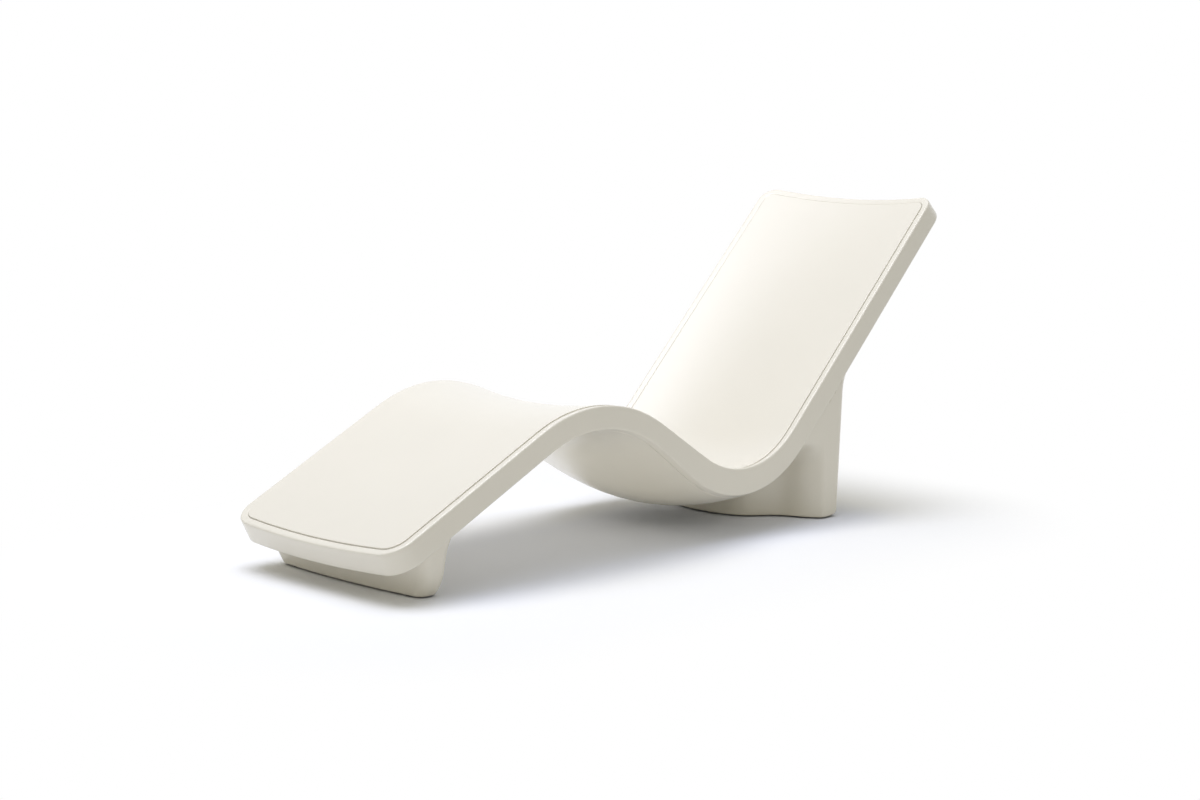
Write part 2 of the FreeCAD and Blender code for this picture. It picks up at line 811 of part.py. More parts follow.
def screw_places():
    """Where the base plate screws stand."""
    face, face_length = size("front_plinth_face"), size("front_plinth_length")
    nose, nose_length = size("rear_plinth_nose"), size("rear_plinth_length")
    front_spacing, rear_spacing = size("front_glide_spacing"), size("rear_glide_spacing")
    back = nose + nose_length - size("rear_screw_inset")
    front = [(face + face_length * ahead, front_spacing * aside) for ahead, aside in FRONT_SCREW_SHARES]
    rear = [(nose + nose_length * ahead, rear_spacing * aside) for ahead, aside in NOSE_SCREW_SHARES]
    rear += [(back, rear_spacing * aside) for aside in BACK_SCREW_SHARES]
    return {"front": front, "rear": rear}


def glide_places():
    """Where the levelling glides stand."""
    front = size("front_plinth_face") + size("front_glide_inset")
    rear = size("rear_plinth_nose") + size("rear_plinth_length") - size("rear_glide_inset")
    front_half = size("front_glide_spacing") / 2
    rear_half = size("rear_glide_spacing") / 2
    return {
        "front_left": (front, front_half),
        "front_right": (front, -front_half),
        "rear_left": (rear, rear_half),
        "rear_right": (rear, -rear_half),
    }


SCREWS = screw_places()
GLIDES = glide_places()
PLATE_BOTTOM = size("base_plate_height")
PLATE_TOP = PLATE_BOTTOM + size("base_plate_thickness")
UP = Vector(0, 0, 1)


def plinth(form, name):
    """A hollow plinth with screw posts and bolt bosses, cut to the underside."""
    outer = form(0)
    rounded = [edge for edge in outer.Edges if edge.BoundBox.ZMax < size("floor_gap") + GAP]
    outer = outer.makeFillet(size("plinth_foot_rounding"), rounded)
    roof = everything_above(GAP + size("plinth_roof"))
    room = form(size("plinth_wall")).cut(roof)
    posts = []
    for x, y in SCREWS[name]:
        foot = Vector(x, y, PLATE_TOP)
        posts.append(Part.makeCylinder(size("screw_post_diameter") / 2, room.BoundBox.ZMax, foot))
    for plinth_name, place, up in BOLTS:
        if plinth_name == name:
            boss = size("bolt_boss_diameter") / 2
            posts.append(rod(place, up, boss, -BOLT_SEAT, size("overrun") / 2))
    shell = cut_each(outer, [everything_above(GAP), cut_each(room, posts)])
    holes = [rod(place, up, BOLT_HOLE, -size("overrun"), size("overrun"))
             for plinth_name, place, up in BOLTS if plinth_name == name]
    for x, y in SCREWS[name]:
        depth = size("screw_length") - size("base_plate_thickness") + GAP
        thread = size("screw_diameter") / 2 + size("fit")
        holes.append(Part.makeCylinder(thread, depth, Vector(x, y, PLATE_TOP)))
    return cut_each(shell, holes)


def base_plate(form, name):
    """The plate that closes a plinth from below, with holes for its glides and screws."""
    room = form(size("plinth_wall") + GAP)
    extent = room.BoundBox
    slab = Part.makeBox(extent.XLength, extent.YLength, PLATE_TOP - PLATE_BOTTOM,
                        Vector(extent.XMin, extent.YMin, PLATE_BOTTOM))
    plate = room.common(slab)
    holes = []
    for x, y in SCREWS[name]:
        holes.append(Part.makeCylinder(size("screw_diameter") / 2 + CLEAR, PLATE_TOP, Vector(x, y, 0)))
    for glide, (x, y) in GLIDES.items():
        if glide.startswith(name):
            bore = size("insert_diameter") / 2 + size("fit")
            holes.append(Part.makeCylinder(bore, PLATE_TOP, Vector(x, y, 0)))
    return plate.cut(holes)


def worth(expression):
    """What an expression on the sheet comes to."""
    return float(sheet.evalExpression(expression))


def turned(name, outline, place):
    """A round part turned about its own upright axis, from the radius and height of each corner."""
    body = doc.addObject("PartDesign::Body", name)
    body.Label = name
    sketch = body.newObject("Sketcher::SketchObject", name + "_outline")
    plane = next(feature for feature in body.Origin.OriginFeatures if feature.Role == "XZ_Plane")
    sketch.AttachmentSupport = (plane, [""])
    sketch.MapMode = "FlatFace"
    points = [Vector(worth(radius), worth(height), 0) for radius, height in outline]
    count = len(points)
    for number in range(count):
        sketch.addGeometry(Part.LineSegment(points[number], points[(number + 1) % count]), False)
    for number in range(count):
        sketch.addConstraint(Sketcher.Constraint("Coincident", number, 2, (number + 1) % count, 1))
    for number, (radius, height) in enumerate(outline):
        bind(sketch, number, "DistanceX", points[number].x, radius, -2)
        bind(sketch, number, "DistanceY", points[number].y, height, -1)
    turn = body.newObject("PartDesign::Revolution", name + "_turned")
    turn.Profile = sketch
    turn.ReferenceAxis = (sketch, ["V_Axis"])
    turn.Angle = 360
    sketch.Visibility = False
    body.Placement = Placement(place, Rotation())
    return body


def bind(sketch, corner, kind, value, expression, axis):
    """Tie one corner of an outline to its expression, or to the axis where it is zero."""
    if value == 0:
        sketch.addConstraint(Sketcher.Constraint("PointOnObject", corner, 1, axis))
        return
    number = sketch.addConstraint(Sketcher.Constraint(kind, -1, 1, corner, 1, value))
    sketch.setExpression("Constraints[%d]" % number, expression)


def round_bar(name, diameter, length, placement):
    """A plain cylinder, sized by expressions."""
    bar = doc.addObject("Part::Cylinder", name)
    bar.setExpression("Radius", "(%s) / 2" % diameter)
    bar.setExpression("Height", length)
    bar.Placement = placement
    return bar


def hexagon(name, diameter, length, placement):
    """A six-sided bar, sized by expressions across its corners."""
    bar = doc.addObject("Part::Prism", name)
    bar.Polygon = 6
    bar.setExpression("Circumradius", "(%s) / 2" % diameter)
    bar.setExpression("Height", length)
    bar.Placement = placement
    return bar


def joined(name, pieces):
    """Several shapes made one."""
    whole = doc.addObject("Part::MultiFuse", name)
    whole.Shapes = pieces
    return whole


def bored(name, base, tool):
    """One shape with another taken out of it."""
    result = doc.addObject("Part::Cut", name)
    result.Base = base
    result.Tool = tool
    return result


def group(name, pieces):
    """Like fasteners that share one node."""
    together = doc.addObject("Part::Compound", name)
    together.Label = name
    together.Links = pieces
    EXPORTS.append(together)
    return together


def along(place, up, distance):
    """Where a fastener starts, and which way it points."""
    return Placement(place + up * distance + Vector(-MIDDLE, 0, 0), Rotation(Vector(0, 0, 1), up))


def plinth_bolts(name):
    """The bolts and washers that hold one plinth to the pan."""
    bolts, washers = [], []
    for number, (plinth_name, place, up) in enumerate(BOLTS):
        if plinth_name != name:
            continue
        tag = "%s_bolt_%d" % (name, number)
        head = -(BOLT_SEAT + size("washer_thickness"))
        foot = along(place, up, head)
        shank = round_bar(tag + "_shank", "Sizes.bolt_diameter", "Sizes.bolt_length", foot)
        top = hexagon(tag + "_head", "Sizes.bolt_head_diameter", "Sizes.bolt_head_height",
                      along(place, up, head - size("bolt_head_height")))
        bolts.append(joined(tag, [shank, top]))
        disc = round_bar(tag + "_disc", "Sizes.washer_diameter", "Sizes.washer_thickness", foot)
        hole = round_bar(tag + "_hole", "Sizes.bolt_diameter + 2 * Sizes.hole_clearance",
                         "Sizes.washer_thickness", foot)
        washers.append(bored(tag + "_washer", disc, hole))
    group(name + "_plinth_bolts", bolts)
    group(name + "_plinth_washers", washers)


def base_plate_screws(name):
    """The screws that hold one base plate."""
    screws = []
    for number, (x, y) in enumerate(SCREWS[name]):
        tag = "%s_screw_%d" % (name, number)
        foot = Vector(x, y, PLATE_BOTTOM)
        base = along(foot, UP, 0)
        shank = round_bar(tag + "_shank", "Sizes.screw_diameter", "Sizes.screw_length", base)
        head = round_bar(tag + "_head", "Sizes.screw_head_diameter", "Sizes.screw_head_height",
                         along(foot, UP, -size("screw_head_height")))
        screws.append(joined(tag, [shank, head]))
    group(name + "_base_plate_screws", screws)


INSERT_OUTLINE = [
    ("Sizes.stem_diameter / 2 + Sizes.fit", "Sizes.base_plate_height - Sizes.insert_flange_thickness"),
    ("Sizes.insert_flange_diameter / 2", "Sizes.base_plate_height - Sizes.insert_flange_thickness"),
    ("Sizes.insert_flange_diameter / 2", "Sizes.base_plate_height"),
    ("Sizes.insert_diameter / 2", "Sizes.base_plate_height"),
    ("Sizes.insert_diameter / 2", "Sizes.base_plate_height + Sizes.insert_length"),
    ("Sizes.stem_diameter / 2 + Sizes.fit", "Sizes.base_plate_height + Sizes.insert_length"),
]
SOLE_OUTLINE = [
    ("0", "0"),
    ("Sizes.glide_diameter / 2 - Sizes.sole_thickness / 4", "0"),
    ("Sizes.glide_diameter / 2", "Sizes.sole_thickness / 4"),
    ("Sizes.glide_diameter / 2", "Sizes.sole_thickness"),
    ("0", "Sizes.sole_thickness"),
]
CUP_OUTLINE = [
    ("0", "Sizes.sole_thickness"),
    ("Sizes.glide_diameter / 2", "Sizes.sole_thickness"),
    ("Sizes.glide_diameter / 2", "Sizes.sole_thickness + Sizes.cup_rim_height"),
    ("Sizes.cup_hub_diameter / 2", "Sizes.sole_thickness + Sizes.cup_height"),
    ("Sizes.stem_diameter / 2 + Sizes.joint_clearance", "Sizes.sole_thickness + Sizes.cup_height"),
    ("Sizes.stem_diameter / 2 + Sizes.joint_clearance", "Sizes.sole_thickness + Sizes.cup_floor"),
    ("0", "Sizes.sole_thickness + Sizes.cup_floor"),
]
STEM_FOOT = "Sizes.sole_thickness + Sizes.cup_floor + Sizes.joint_clearance"
STEM_OUTLINE = [
    ("0", STEM_FOOT),
    ("Sizes.stem_diameter / 2", STEM_FOOT),
    ("Sizes.stem_diameter / 2", STEM_FOOT + " + Sizes.stem_length - Sizes.stem_chamfer"),
    ("Sizes.stem_diameter / 2 - Sizes.stem_chamfer", STEM_FOOT + " + Sizes.stem_length"),
    ("0", STEM_FOOT + " + Sizes.stem_length"),
]


def glide(name, x, y):
    """One levelling glide: a rubber sole, a steel cup, and a threaded stem with a hexagon."""
    place = Vector(x - MIDDLE, y, 0)
    EXPORTS.append(turned(name + "_glide_sole", SOLE_OUTLINE, place))
    EXPORTS.append(turned(name + "_glide_cup", CUP_OUTLINE, place))
    shaft = turned(name + "_stem_shaft", STEM_OUTLINE, place)
    collar = hexagon(name + "_stem_collar", "Sizes.collar_diameter", "Sizes.collar_thickness",
                     Placement(place + UP * size("collar_bottom"), Rotation()))
    stem = joined(name + "_glide_stem", [shaft, collar])
    stem.Label = name + "_glide_stem"
    EXPORTS.append(stem)


publish("rim_band", rim_band())
publish("seat_panel", seat_panel())
publish("panel_seal", panel_seal())
publish("underside_pan", underside_pan())
publish("left_stringer", stringer(1))
publish("right_stringer", stringer(-1))
for name, place, run in BULKHEADS:
    publish(name, bulkhead(place, run))
for name, core in zip(CORE_NAMES, cores()):
    publish(name, core)
for name, blocks in fixing_blocks().items():
    publish(name + "_fixing_blocks", Part.makeCompound(blocks))
for name, form in (("front", front_plinth_form), ("rear", rear_plinth_form)):
    publish(name + "_plinth", plinth(form, name))
    publish(name + "_base_plate", base_plate(form, name))
    plinth_bolts(name)
    base_plate_screws(name)
inserts = []
for name, (x, y) in GLIDES.items():
    inserts.append(turned(name + "_insert", INSERT_OUTLINE, Vector(x - MIDDLE, y, 0)))
    glide(name, x, y)
group("glide_inserts", inserts)
doc.recompute()


def check_document():
    """Stop unless every object is sound and every finished piece is a valid solid."""
    for item in doc.Objects:
        if "Invalid" in item.State or "Error" in item.State:
            raise ValueError("%s failed: %s" % (item.Label, item.State))
    for piece in EXPORTS:
        shape = piece.Shape
        if shape.isNull() or not shape.isValid() or not shape.Solids:
            raise ValueError("%s has no valid solid" % piece.Label)


def write_parts():
    """Write each piece under its own name."""
    for piece in EXPORTS:
        volume = piece.Shape.Volume / 1000
        print("%-28s %d solids, %.1f cm3" % (piece.Label, len(piece.Shape.Solids), volume))
        piece.Shape.exportStep("parts/%s.step" % piece.Label)


check_document()
write_parts()
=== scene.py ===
import json
import math

import bmesh
import bpy
import numpy as np
from mathutils import Matrix, Vector


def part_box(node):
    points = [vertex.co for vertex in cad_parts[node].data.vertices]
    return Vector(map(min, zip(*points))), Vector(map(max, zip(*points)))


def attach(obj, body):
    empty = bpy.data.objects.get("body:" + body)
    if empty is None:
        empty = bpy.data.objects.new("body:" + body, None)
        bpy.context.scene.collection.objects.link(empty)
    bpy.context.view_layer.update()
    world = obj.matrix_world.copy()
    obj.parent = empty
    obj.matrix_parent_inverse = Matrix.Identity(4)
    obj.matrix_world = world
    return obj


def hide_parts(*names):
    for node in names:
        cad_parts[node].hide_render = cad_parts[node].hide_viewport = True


# Relaxation lounger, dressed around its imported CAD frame. All lengths are in metres.

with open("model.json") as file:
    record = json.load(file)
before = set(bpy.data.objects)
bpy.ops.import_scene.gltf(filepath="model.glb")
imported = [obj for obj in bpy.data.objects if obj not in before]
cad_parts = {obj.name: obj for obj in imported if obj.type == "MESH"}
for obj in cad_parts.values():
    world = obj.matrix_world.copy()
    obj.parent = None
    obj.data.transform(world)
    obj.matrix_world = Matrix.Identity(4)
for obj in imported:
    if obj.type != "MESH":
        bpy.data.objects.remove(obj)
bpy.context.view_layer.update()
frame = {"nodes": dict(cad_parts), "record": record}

# The wave: the sharp line of the upper rim seen from the side, as the construction has it
HALF_WIDTH = 0.315
FOOT_END_HEIGHT = 0.1213
LEG_RUN, THIGH_RUN, BACK_RUN = 0.6932, 0.5479, 0.7437
LEG_ANGLE, THIGH_ANGLE, BACK_ANGLE = math.radians(26.5), math.radians(-33.1), math.radians(45.54)
KNEE_RADIUS, SEAT_RADIUS = 0.411, 0.2645

# Depths square to the runs, at foot, knee, seat and head
DISHES = {"foot": 0.008, "knee": 0.020, "seat": 0.045, "head": 0.034}
BELLIES = {"foot": 0.006, "knee": 0.045, "seat": 0.054, "head": 0.008}
BAND_DEPTHS = (0.063, 0.060, 0.0393, 0.0837, 0.066, 0.0625)
KNEE_UNDER_TIGHTENING, SEAT_UNDER_EASING = 0.054, 0.0505

# Plan outline of the two ends
FOOT_BOW, HEAD_BOW = 0.013, 0.001
FOOT_CORNER, HEAD_CORNER = 0.068, 0.050

# Rim band, panel and pan
RIM_WIDTH = 0.021
RIM_TOP_ROUNDING, RIM_UNDER_ROUNDING = 0.005, 0.006
SEAL_WIDTH, SEAL_RECESS = 0.0016, 0.0008
SEAL_MARGIN_SHARE, SEAL_HOLLOW_SHARE = 0.05, 1.5
PANEL_DEPTH, PANEL_STAND = 0.0071, 0.0024
PAN_THICKNESS = 0.005
EDGE_ROUNDING = 0.0012
PAN_GAP = 0.0007

# Where the front glides stand behind the foot end's tip
FRONT_GLIDE_PLACE = 0.151

# Rear plinth: its plan from the nose to a corner post, in shares of that length and of the half-width
REAR_NOSE, REAR_LENGTH, REAR_HALF, REAR_POST = 1.366, 0.233, 0.308, 0.0595
RECESS_PLAN = ((0.0, 0.13), (0.053, 0.282), (0.146, 0.416), (0.38, 0.542),
               (0.614, 0.666), (0.75, 0.834), (0.87, 0.945), (1.05, 1.07))
RECESS_START, RECESS_END = 0.150, 0.225
REAR_LEAN = math.radians(3.2)
SWEEP_DOWN, SWEEP_UP = 0.055, 0.110
REAR_CORNER, POST_SOFTNESS = 0.020, 0.0022
FLOOR_GAP, FOOT_ROUNDING, CORNER_FOOT_ROUNDING, CORNER_REACH = 0.004, 0.006, 0.016, 0.05
PLINTH_WALL, PLINTH_ROOF, PLINTH_GAP = 0.007, 0.008, 0.0003

# The blocks that cut the plinth: its uncut height, where the one above it starts, and their overruns
PLINTH_TOP, BLOCK_START, BLOCK_HEIGHT = 0.52, 0.9, 0.5
SIDE_OVERRUN, FLOOR_OVERRUN = 0.02, 0.01

# Edges that bend more than this are shaded as sharp
SHARP_ANGLE = math.radians(35.0)

# How finely the surfaces are divided
STATION = 0.002
BLEND_LENGTH = 0.018
END_STEPS, CORNER_STEPS, SIDE_STEPS = 20, 12, 170
BEAD_STEPS, ARRIS_STEPS = 8, 3
TOP_RINGS, SIDE_RINGS, UNDER_RINGS = 3, 5, 2
NOSE_STEPS, RECESS_STEPS, POST_STEPS, UPRIGHT_STEPS, FACE_STEPS = 12, 64, 5, 9, 40
SWEEP_STEPS, FOOT_STEPS, SHELL_LEVELS, ROOM_LEVELS = 16, 6, 69, 60
BLOCK_STATIONS, BLOCK_COLUMNS = 260, 81


def foot_end_x():
    """Where the foot end's tip stands in the frame."""
    low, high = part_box("front_left_glide_sole")
    return (low.x + high.x) / 2 - FRONT_GLIDE_PLACE


def unit(vectors):
    """Vectors made one long."""
    return vectors / np.linalg.norm(vectors, axis=-1, keepdims=True)


def below(run):
    """The direction square to a run of the wave, away from the sitter."""
    return np.array([run[1], -run[0]])


def crossing(point, run, other_point, other_run):
    """Where two lines in the side view cross."""
    gap = other_point - point
    turn = run[0] * other_run[1] - run[1] * other_run[0]
    return point + run * (gap[0] * other_run[1] - gap[1] * other_run[0]) / turn


class Profile:
    """A side profile: corners at foot, knee, seat and head, the middle two rounded by arcs."""

    def __init__(self, corners, knee_radius, seat_radius):
        self.corners = [np.array(corner, float) for corner in corners]
        self.radii = (knee_radius, seat_radius)

    def runs(self):
        return [unit(end - start) for start, end in zip(self.corners, self.corners[1:])]

    def lowered(self, depths, knee_change=0.0, seat_change=0.0):
        """The profile moved away from the sitter, by a depth at each end of each run."""
        foot, knee, seat, head = self.corners
        leg, thigh, back = [below(run) for run in self.runs()]
        leg_foot, leg_knee, thigh_knee, thigh_seat, back_seat, back_head = depths
        new_foot = foot + leg * leg_foot
        new_head = head + back * back_head
        thigh_start = knee + thigh * thigh_knee
        back_start = seat + back * back_seat
        leg_line = unit(knee + leg * leg_knee - new_foot)
        thigh_line = unit(seat + thigh * thigh_seat - thigh_start)
        back_line = unit(new_head - back_start)
        new_knee = crossing(new_foot, leg_line, thigh_start, thigh_line)
        new_seat = crossing(thigh_start, thigh_line, back_start, back_line)
        corners = (new_foot, new_knee, new_seat, new_head)
        return Profile(corners, self.radii[0] + knee_change, self.radii[1] + seat_change)

    def arc(self, number):
        """Start, centre, start angle and turn of the arc at the knee or the seat."""
        before, after = self.runs()[number], self.runs()[number + 1]
        turn = math.atan2(before[0] * after[1] - before[1] * after[0], before @ after)
        radius = self.radii[number]
        start = self.corners[number + 1] - before * radius * math.tan(abs(turn) / 2)
        side = 1.0 if turn > 0 else -1.0
        centre = start + np.array([-before[1], before[0]]) * radius * side
        first = math.atan2(*(start - centre)[::-1])
        return centre, first, turn

    def on_arc(self, number, share):
        """Points at shares of an arc."""
        centre, first, turn = self.arc(number)
        angle = first + turn * share
        return centre + self.radii[number] * np.stack([np.cos(angle), np.sin(angle)], axis=-1)

    def stretches(self):
        """The ends of the five stretches: run, arc, run, arc, run."""
        ends = [self.corners[0]]
        for number in (0, 1):
            ends += [self.on_arc(number, 0.0), self.on_arc(number, 1.0)]
        return ends + [self.corners[3]]

    def lengths(self):
        ends = self.stretches()
        runs = [np.linalg.norm(b - a) for a, b in zip(ends, ends[1:])]
        for number in (0, 1):
            runs[2 * number + 1] = self.radii[number] * abs(self.arc(number)[2])
        return runs


def rim_profile():
    """The sharp upper edge of the rim."""
    corners = [np.array([foot_end_x(), FOOT_END_HEIGHT])]
    for run, angle in ((LEG_RUN, LEG_ANGLE), (THIGH_RUN, THIGH_ANGLE), (BACK_RUN, BACK_ANGLE)):
        corners.append(corners[-1] + np.array([run, run * math.tan(angle)]))
    return Profile(corners, KNEE_RADIUS, SEAT_RADIUS)


def along_wave(depths):
    """The six depths of a dish or belly from its four."""
    return (depths["foot"], depths["knee"], depths["knee"], depths["seat"], depths["seat"], depths["head"])


RIM = rim_profile()
TOP_MIDDLE = RIM.lowered(along_wave(DISHES))
UNDER_EDGE = RIM.lowered(BAND_DEPTHS, -KNEE_UNDER_TIGHTENING, SEAT_UNDER_EASING)
UNDER_MIDDLE = UNDER_EDGE.lowered(along_wave(BELLIES))
RIM_LENGTHS = RIM.lengths()
LENGTH = sum(RIM_LENGTHS)


def smoothstep(share):
    """A share eased in and out, held between 0 and 1."""
    share = np.clip(share, 0.0, 1.0)
    return share * share * (3 - 2 * share)


def sampled(profile):
    """The profile at every station of the rim, with its arcs eased into its runs."""
    distances = np.arange(0, LENGTH, STATION)
    distances = np.append(distances, LENGTH)
    ends = profile.stretches()
    own = profile.lengths()
    starts = np.concatenate([[0], np.cumsum(RIM_LENGTHS)])
    points = np.zeros((len(distances), 2))
    for stretch in range(5):
        inside = (distances >= starts[stretch]) & (distances <= starts[stretch + 1])
        local = distances[inside] - starts[stretch]
        share = local / RIM_LENGTHS[stretch]
        if stretch in (1, 3):
            points[inside] = profile.on_arc(stretch // 2, share)
            continue
        if stretch == 0:
            share = (local + (own[0] - RIM_LENGTHS[0]) * smoothstep(share)) / own[0]
        if stretch == 4:
            left = RIM_LENGTHS[4] - local
            share = 1 - (left + (own[4] - RIM_LENGTHS[4]) * smoothstep(1 - share)) / own[4]
        points[inside] = ends[stretch] + (ends[stretch + 1] - ends[stretch]) * share[:, None]
    return distances, eased(points)


def eased(points):
    """A line of points smoothed along its length, its straight ends kept."""
    reach = int(3 * BLEND_LENGTH / STATION)
    offsets = np.arange(-reach, reach + 1)
    weights = np.exp(-0.5 * (offsets * STATION / BLEND_LENGTH) ** 2)
    weights /= weights.sum()
    steps = np.arange(1, reach + 1)[:, None]
    before = points[0] - (points[1] - points[0]) * steps[::-1]
    after = points[-2] + (points[-2] - points[-3]) * steps
    padded = np.vstack([before, points[:-1], after])
    smooth = np.stack([np.convolve(padded[:, axis], weights, mode="valid") for axis in (0, 1)], axis=-1)
    return np.vstack([smooth, points[-1:]])


class Surface:
    """A surface between a line along its edge and one along its middle, bulging as a parabola."""

    def __init__(self, edge, middle):
        self.distances, self.edge = sampled(edge)
        self.middle = sampled(middle)[1]

    def at(self, distance, across):
        """Points at a distance along the rim and a place across."""
        full = 1 - (across / HALF_WIDTH) ** 2
        places = []
        for axis in (0, 1):
            edge = np.interp(distance, self.distances, self.edge[:, axis])
            middle = np.interp(distance, self.distances, self.middle[:, axis])
            places.append(edge + full * (middle - edge))
        return np.stack([places[0], across + 0 * places[0], places[1]], axis=-1)

    def normal(self, distance, across):
        """The direction towards the sitter, square to the surface."""
        step = 2 * STATION
        centre = np.clip(distance, step, LENGTH - step)
        ahead = self.at(centre + step, across) - self.at(centre - step, across)
        aside = self.at(centre, across + step) - self.at(centre, across - step)
        return unit(np.cross(ahead, aside))

    def raised(self, distance, across, height):
        """Points a height off the surface, towards the sitter."""
        return self.at(distance, across) + self.normal(distance, across) * height


TOP = Surface(RIM, TOP_MIDDLE)
UNDER = Surface(UNDER_EDGE, UNDER_MIDDLE)


def end_half(bow, corner):
    """Half of one end's outline, from its middle to the straight side, and its inward directions."""
    bow_radius = (HALF_WIDTH ** 2 + bow ** 2) / (2 * bow)
    across = HALF_WIDTH - corner
    lean = math.asin(across / (bow_radius - corner))
    along = bow_radius - math.sqrt((bow_radius - corner) ** 2 - across ** 2)
    bow_angles = np.linspace(0, lean, END_STEPS + 1)[:-1]
    corner_angles = np.linspace(lean, math.pi / 2, CORNER_STEPS + 1)
    bowed = np.stack([bow_radius * (1 - np.cos(bow_angles)), bow_radius * np.sin(bow_angles)], axis=-1)
    turned = [along - corner * np.cos(corner_angles), across + corner * np.sin(corner_angles)]
    angles = np.concatenate([bow_angles, corner_angles])
    inward = np.stack([np.cos(angles), -np.sin(angles)], axis=-1)
    return np.vstack([bowed, np.stack(turned, axis=-1)]), inward


def plan_outline():
    """The closed outline as distance along and place across, and its inward directions."""
    foot, foot_in = end_half(FOOT_BOW, FOOT_CORNER)
    head, head_in = end_half(HEAD_BOW, HEAD_CORNER)
    head = np.stack([LENGTH - head[:, 0], head[:, 1]], axis=-1)[::-1]
    head_in = (head_in * [-1, 1])[::-1]
    shares = np.linspace(0, 1, SIDE_STEPS + 1)[1:-1, None]
    side = foot[-1] + (head[0] - foot[-1]) * shares
    side_in = np.tile([0.0, -1.0], (len(side), 1))
    far = np.vstack([foot, side, head])
    far_in = np.vstack([foot_in, side_in, head_in])
    near = far[-2:0:-1] * [1, -1]
    near_in = far_in[-2:0:-1] * [1, -1]
    return np.vstack([far, near]), np.vstack([far_in, near_in])


OUTLINE, INWARD = plan_outline()


def inset_outline(inset):
    """The outline moved in by an inset."""
    moved = OUTLINE + INWARD * inset
    return moved[:, 0], moved[:, 1]


def patch_grid(loop):
    """A grid of places filling a closed outline, its edge on the outline's own places."""
    half_end = END_STEPS + CORNER_STEPS // 2
    side = SIDE_STEPS + CORNER_STEPS
    count = len(loop)
    foot = [(index - half_end) % count for index in range(2 * half_end + 1)]
    far = [half_end + index for index in range(side + 1)]
    head = [(half_end + side + 2 * half_end - index) % count for index in range(2 * half_end + 1)]
    near = [(-half_end - index) % count for index in range(side + 1)]
    across = np.linspace(0, 1, 2 * half_end + 1)[None, :, None]
    ahead = np.linspace(0, 1, side + 1)[:, None, None]
    foot_line, head_line = loop[foot][None], loop[head][None]
    near_line, far_line = loop[near][:, None], loop[far][:, None]
    grid = (1 - ahead) * foot_line + ahead * head_line + (1 - across) * near_line + across * far_line
    corners = (1 - ahead) * ((1 - across) * loop[foot[0]] + across * loop[foot[-1]])
    corners = corners + ahead * ((1 - across) * loop[head[0]] + across * loop[head[-1]])
    edges = {}
    for column, index in enumerate(foot):
        edges[(0, column)] = index
    for column, index in enumerate(head):
        edges[(side, column)] = index
    for row, index in enumerate(near):
        edges[(row, 0)] = index
    for row, index in enumerate(far):
        edges[(row, 2 * half_end)] = index
    return grid - corners, edges


class Mesh:
    """A closed skin built up from rings of points and filled outlines."""

    def __init__(self):
        self.points = []
        self.faces = []

    def add(self, points):
        """Add points and return their numbers."""
        start = len(self.points)
        self.points.extend(map(tuple, points))
        return list(range(start, start + len(points)))

    def join(self, first, second):
        """Close the strip between two rings."""
        count = len(first)
        for index in range(count):
            after = (index + 1) % count
            self.faces.append((first[index], first[after], second[after], second[index]))

    def cover(self, ring, loop, place):
        """Fill a ring with a grid; place turns distances and places across into points."""
        grid, edges = patch_grid(loop)
        rows, columns = grid.shape[:2]
        numbers = {}
        cells = [(row, column) for row in range(rows) for column in range(columns)]
        inner = [cell for cell in cells if cell not in edges]
        flat = np.array([grid[cell] for cell in inner])
        for cell, number in zip(inner, self.add(place(flat[:, 0], flat[:, 1]))):
            numbers[cell] = number
        for cell, index in edges.items():
            numbers[cell] = ring[index]
        for row in range(rows - 1):
            for column in range(columns - 1):
                corners = ((row, column), (row + 1, column), (row + 1, column + 1), (row, column + 1))
                self.faces.append(tuple(numbers[cell] for cell in corners))

    def finished(self, name, material):
        """The mesh as a smooth-shaded object with its faces pointing outwards."""
        mesh = bpy.data.meshes.new(name)
        mesh.from_pydata(self.points, [], self.faces)
        piece = bpy.data.objects.new(name, mesh)
        bpy.context.scene.collection.objects.link(piece)
        return dressed(piece, material)


def dressed(piece, material):
    """Give a new piece outward faces, smooth shading and its material."""
    edit = bmesh.new()
    edit.from_mesh(piece.data)
    bmesh.ops.recalc_face_normals(edit, faces=edit.faces)
    edit.to_mesh(piece.data)
    edit.free()
    piece.data.shade_smooth()
    piece.data.set_sharp_from_angle(angle=SHARP_ANGLE)
    piece.data.materials.append(material)
    return piece


# Finishes


def link(tree, output, target):
    tree.links.new(output, target)


def group_with(name, inputs, outputs):
    """A shader node group with named sockets, and its two ends."""
    tree = bpy.data.node_groups.new(name, "ShaderNodeTree")
    for socket, kind, value in inputs:
        made = tree.interface.new_socket(socket, in_out="INPUT", socket_type=kind)
        made.default_value = value
    for socket, kind in outputs:
        tree.interface.new_socket(socket, in_out="OUTPUT", socket_type=kind)
    return tree, tree.nodes.new("NodeGroupInput"), tree.nodes.new("NodeGroupOutput")


def noise(tree, vector, scale, detail=3.0, roughness=0.5):
    """A noise texture fed by a vector."""
    node = tree.nodes.new("ShaderNodeTexNoise")
    node.inputs["Scale"].default_value = scale
    node.inputs["Detail"].default_value = detail
    node.inputs["Roughness"].default_value = roughness
    link(tree, vector, node.inputs["Vector"])
    return node.outputs["Fac"]


def ranged(tree, value, low, high, from_low=0.3, from_high=0.7):
    """A value moved to a new range."""
    node = tree.nodes.new("ShaderNodeMapRange")
    node.inputs["From Min"].default_value = from_low
    node.inputs["From Max"].default_value = from_high
    node.inputs["To Min"].default_value = low
    node.inputs["To Max"].default_value = high
    link(tree, value, node.inputs["Value"])
    return node.outputs["Result"]


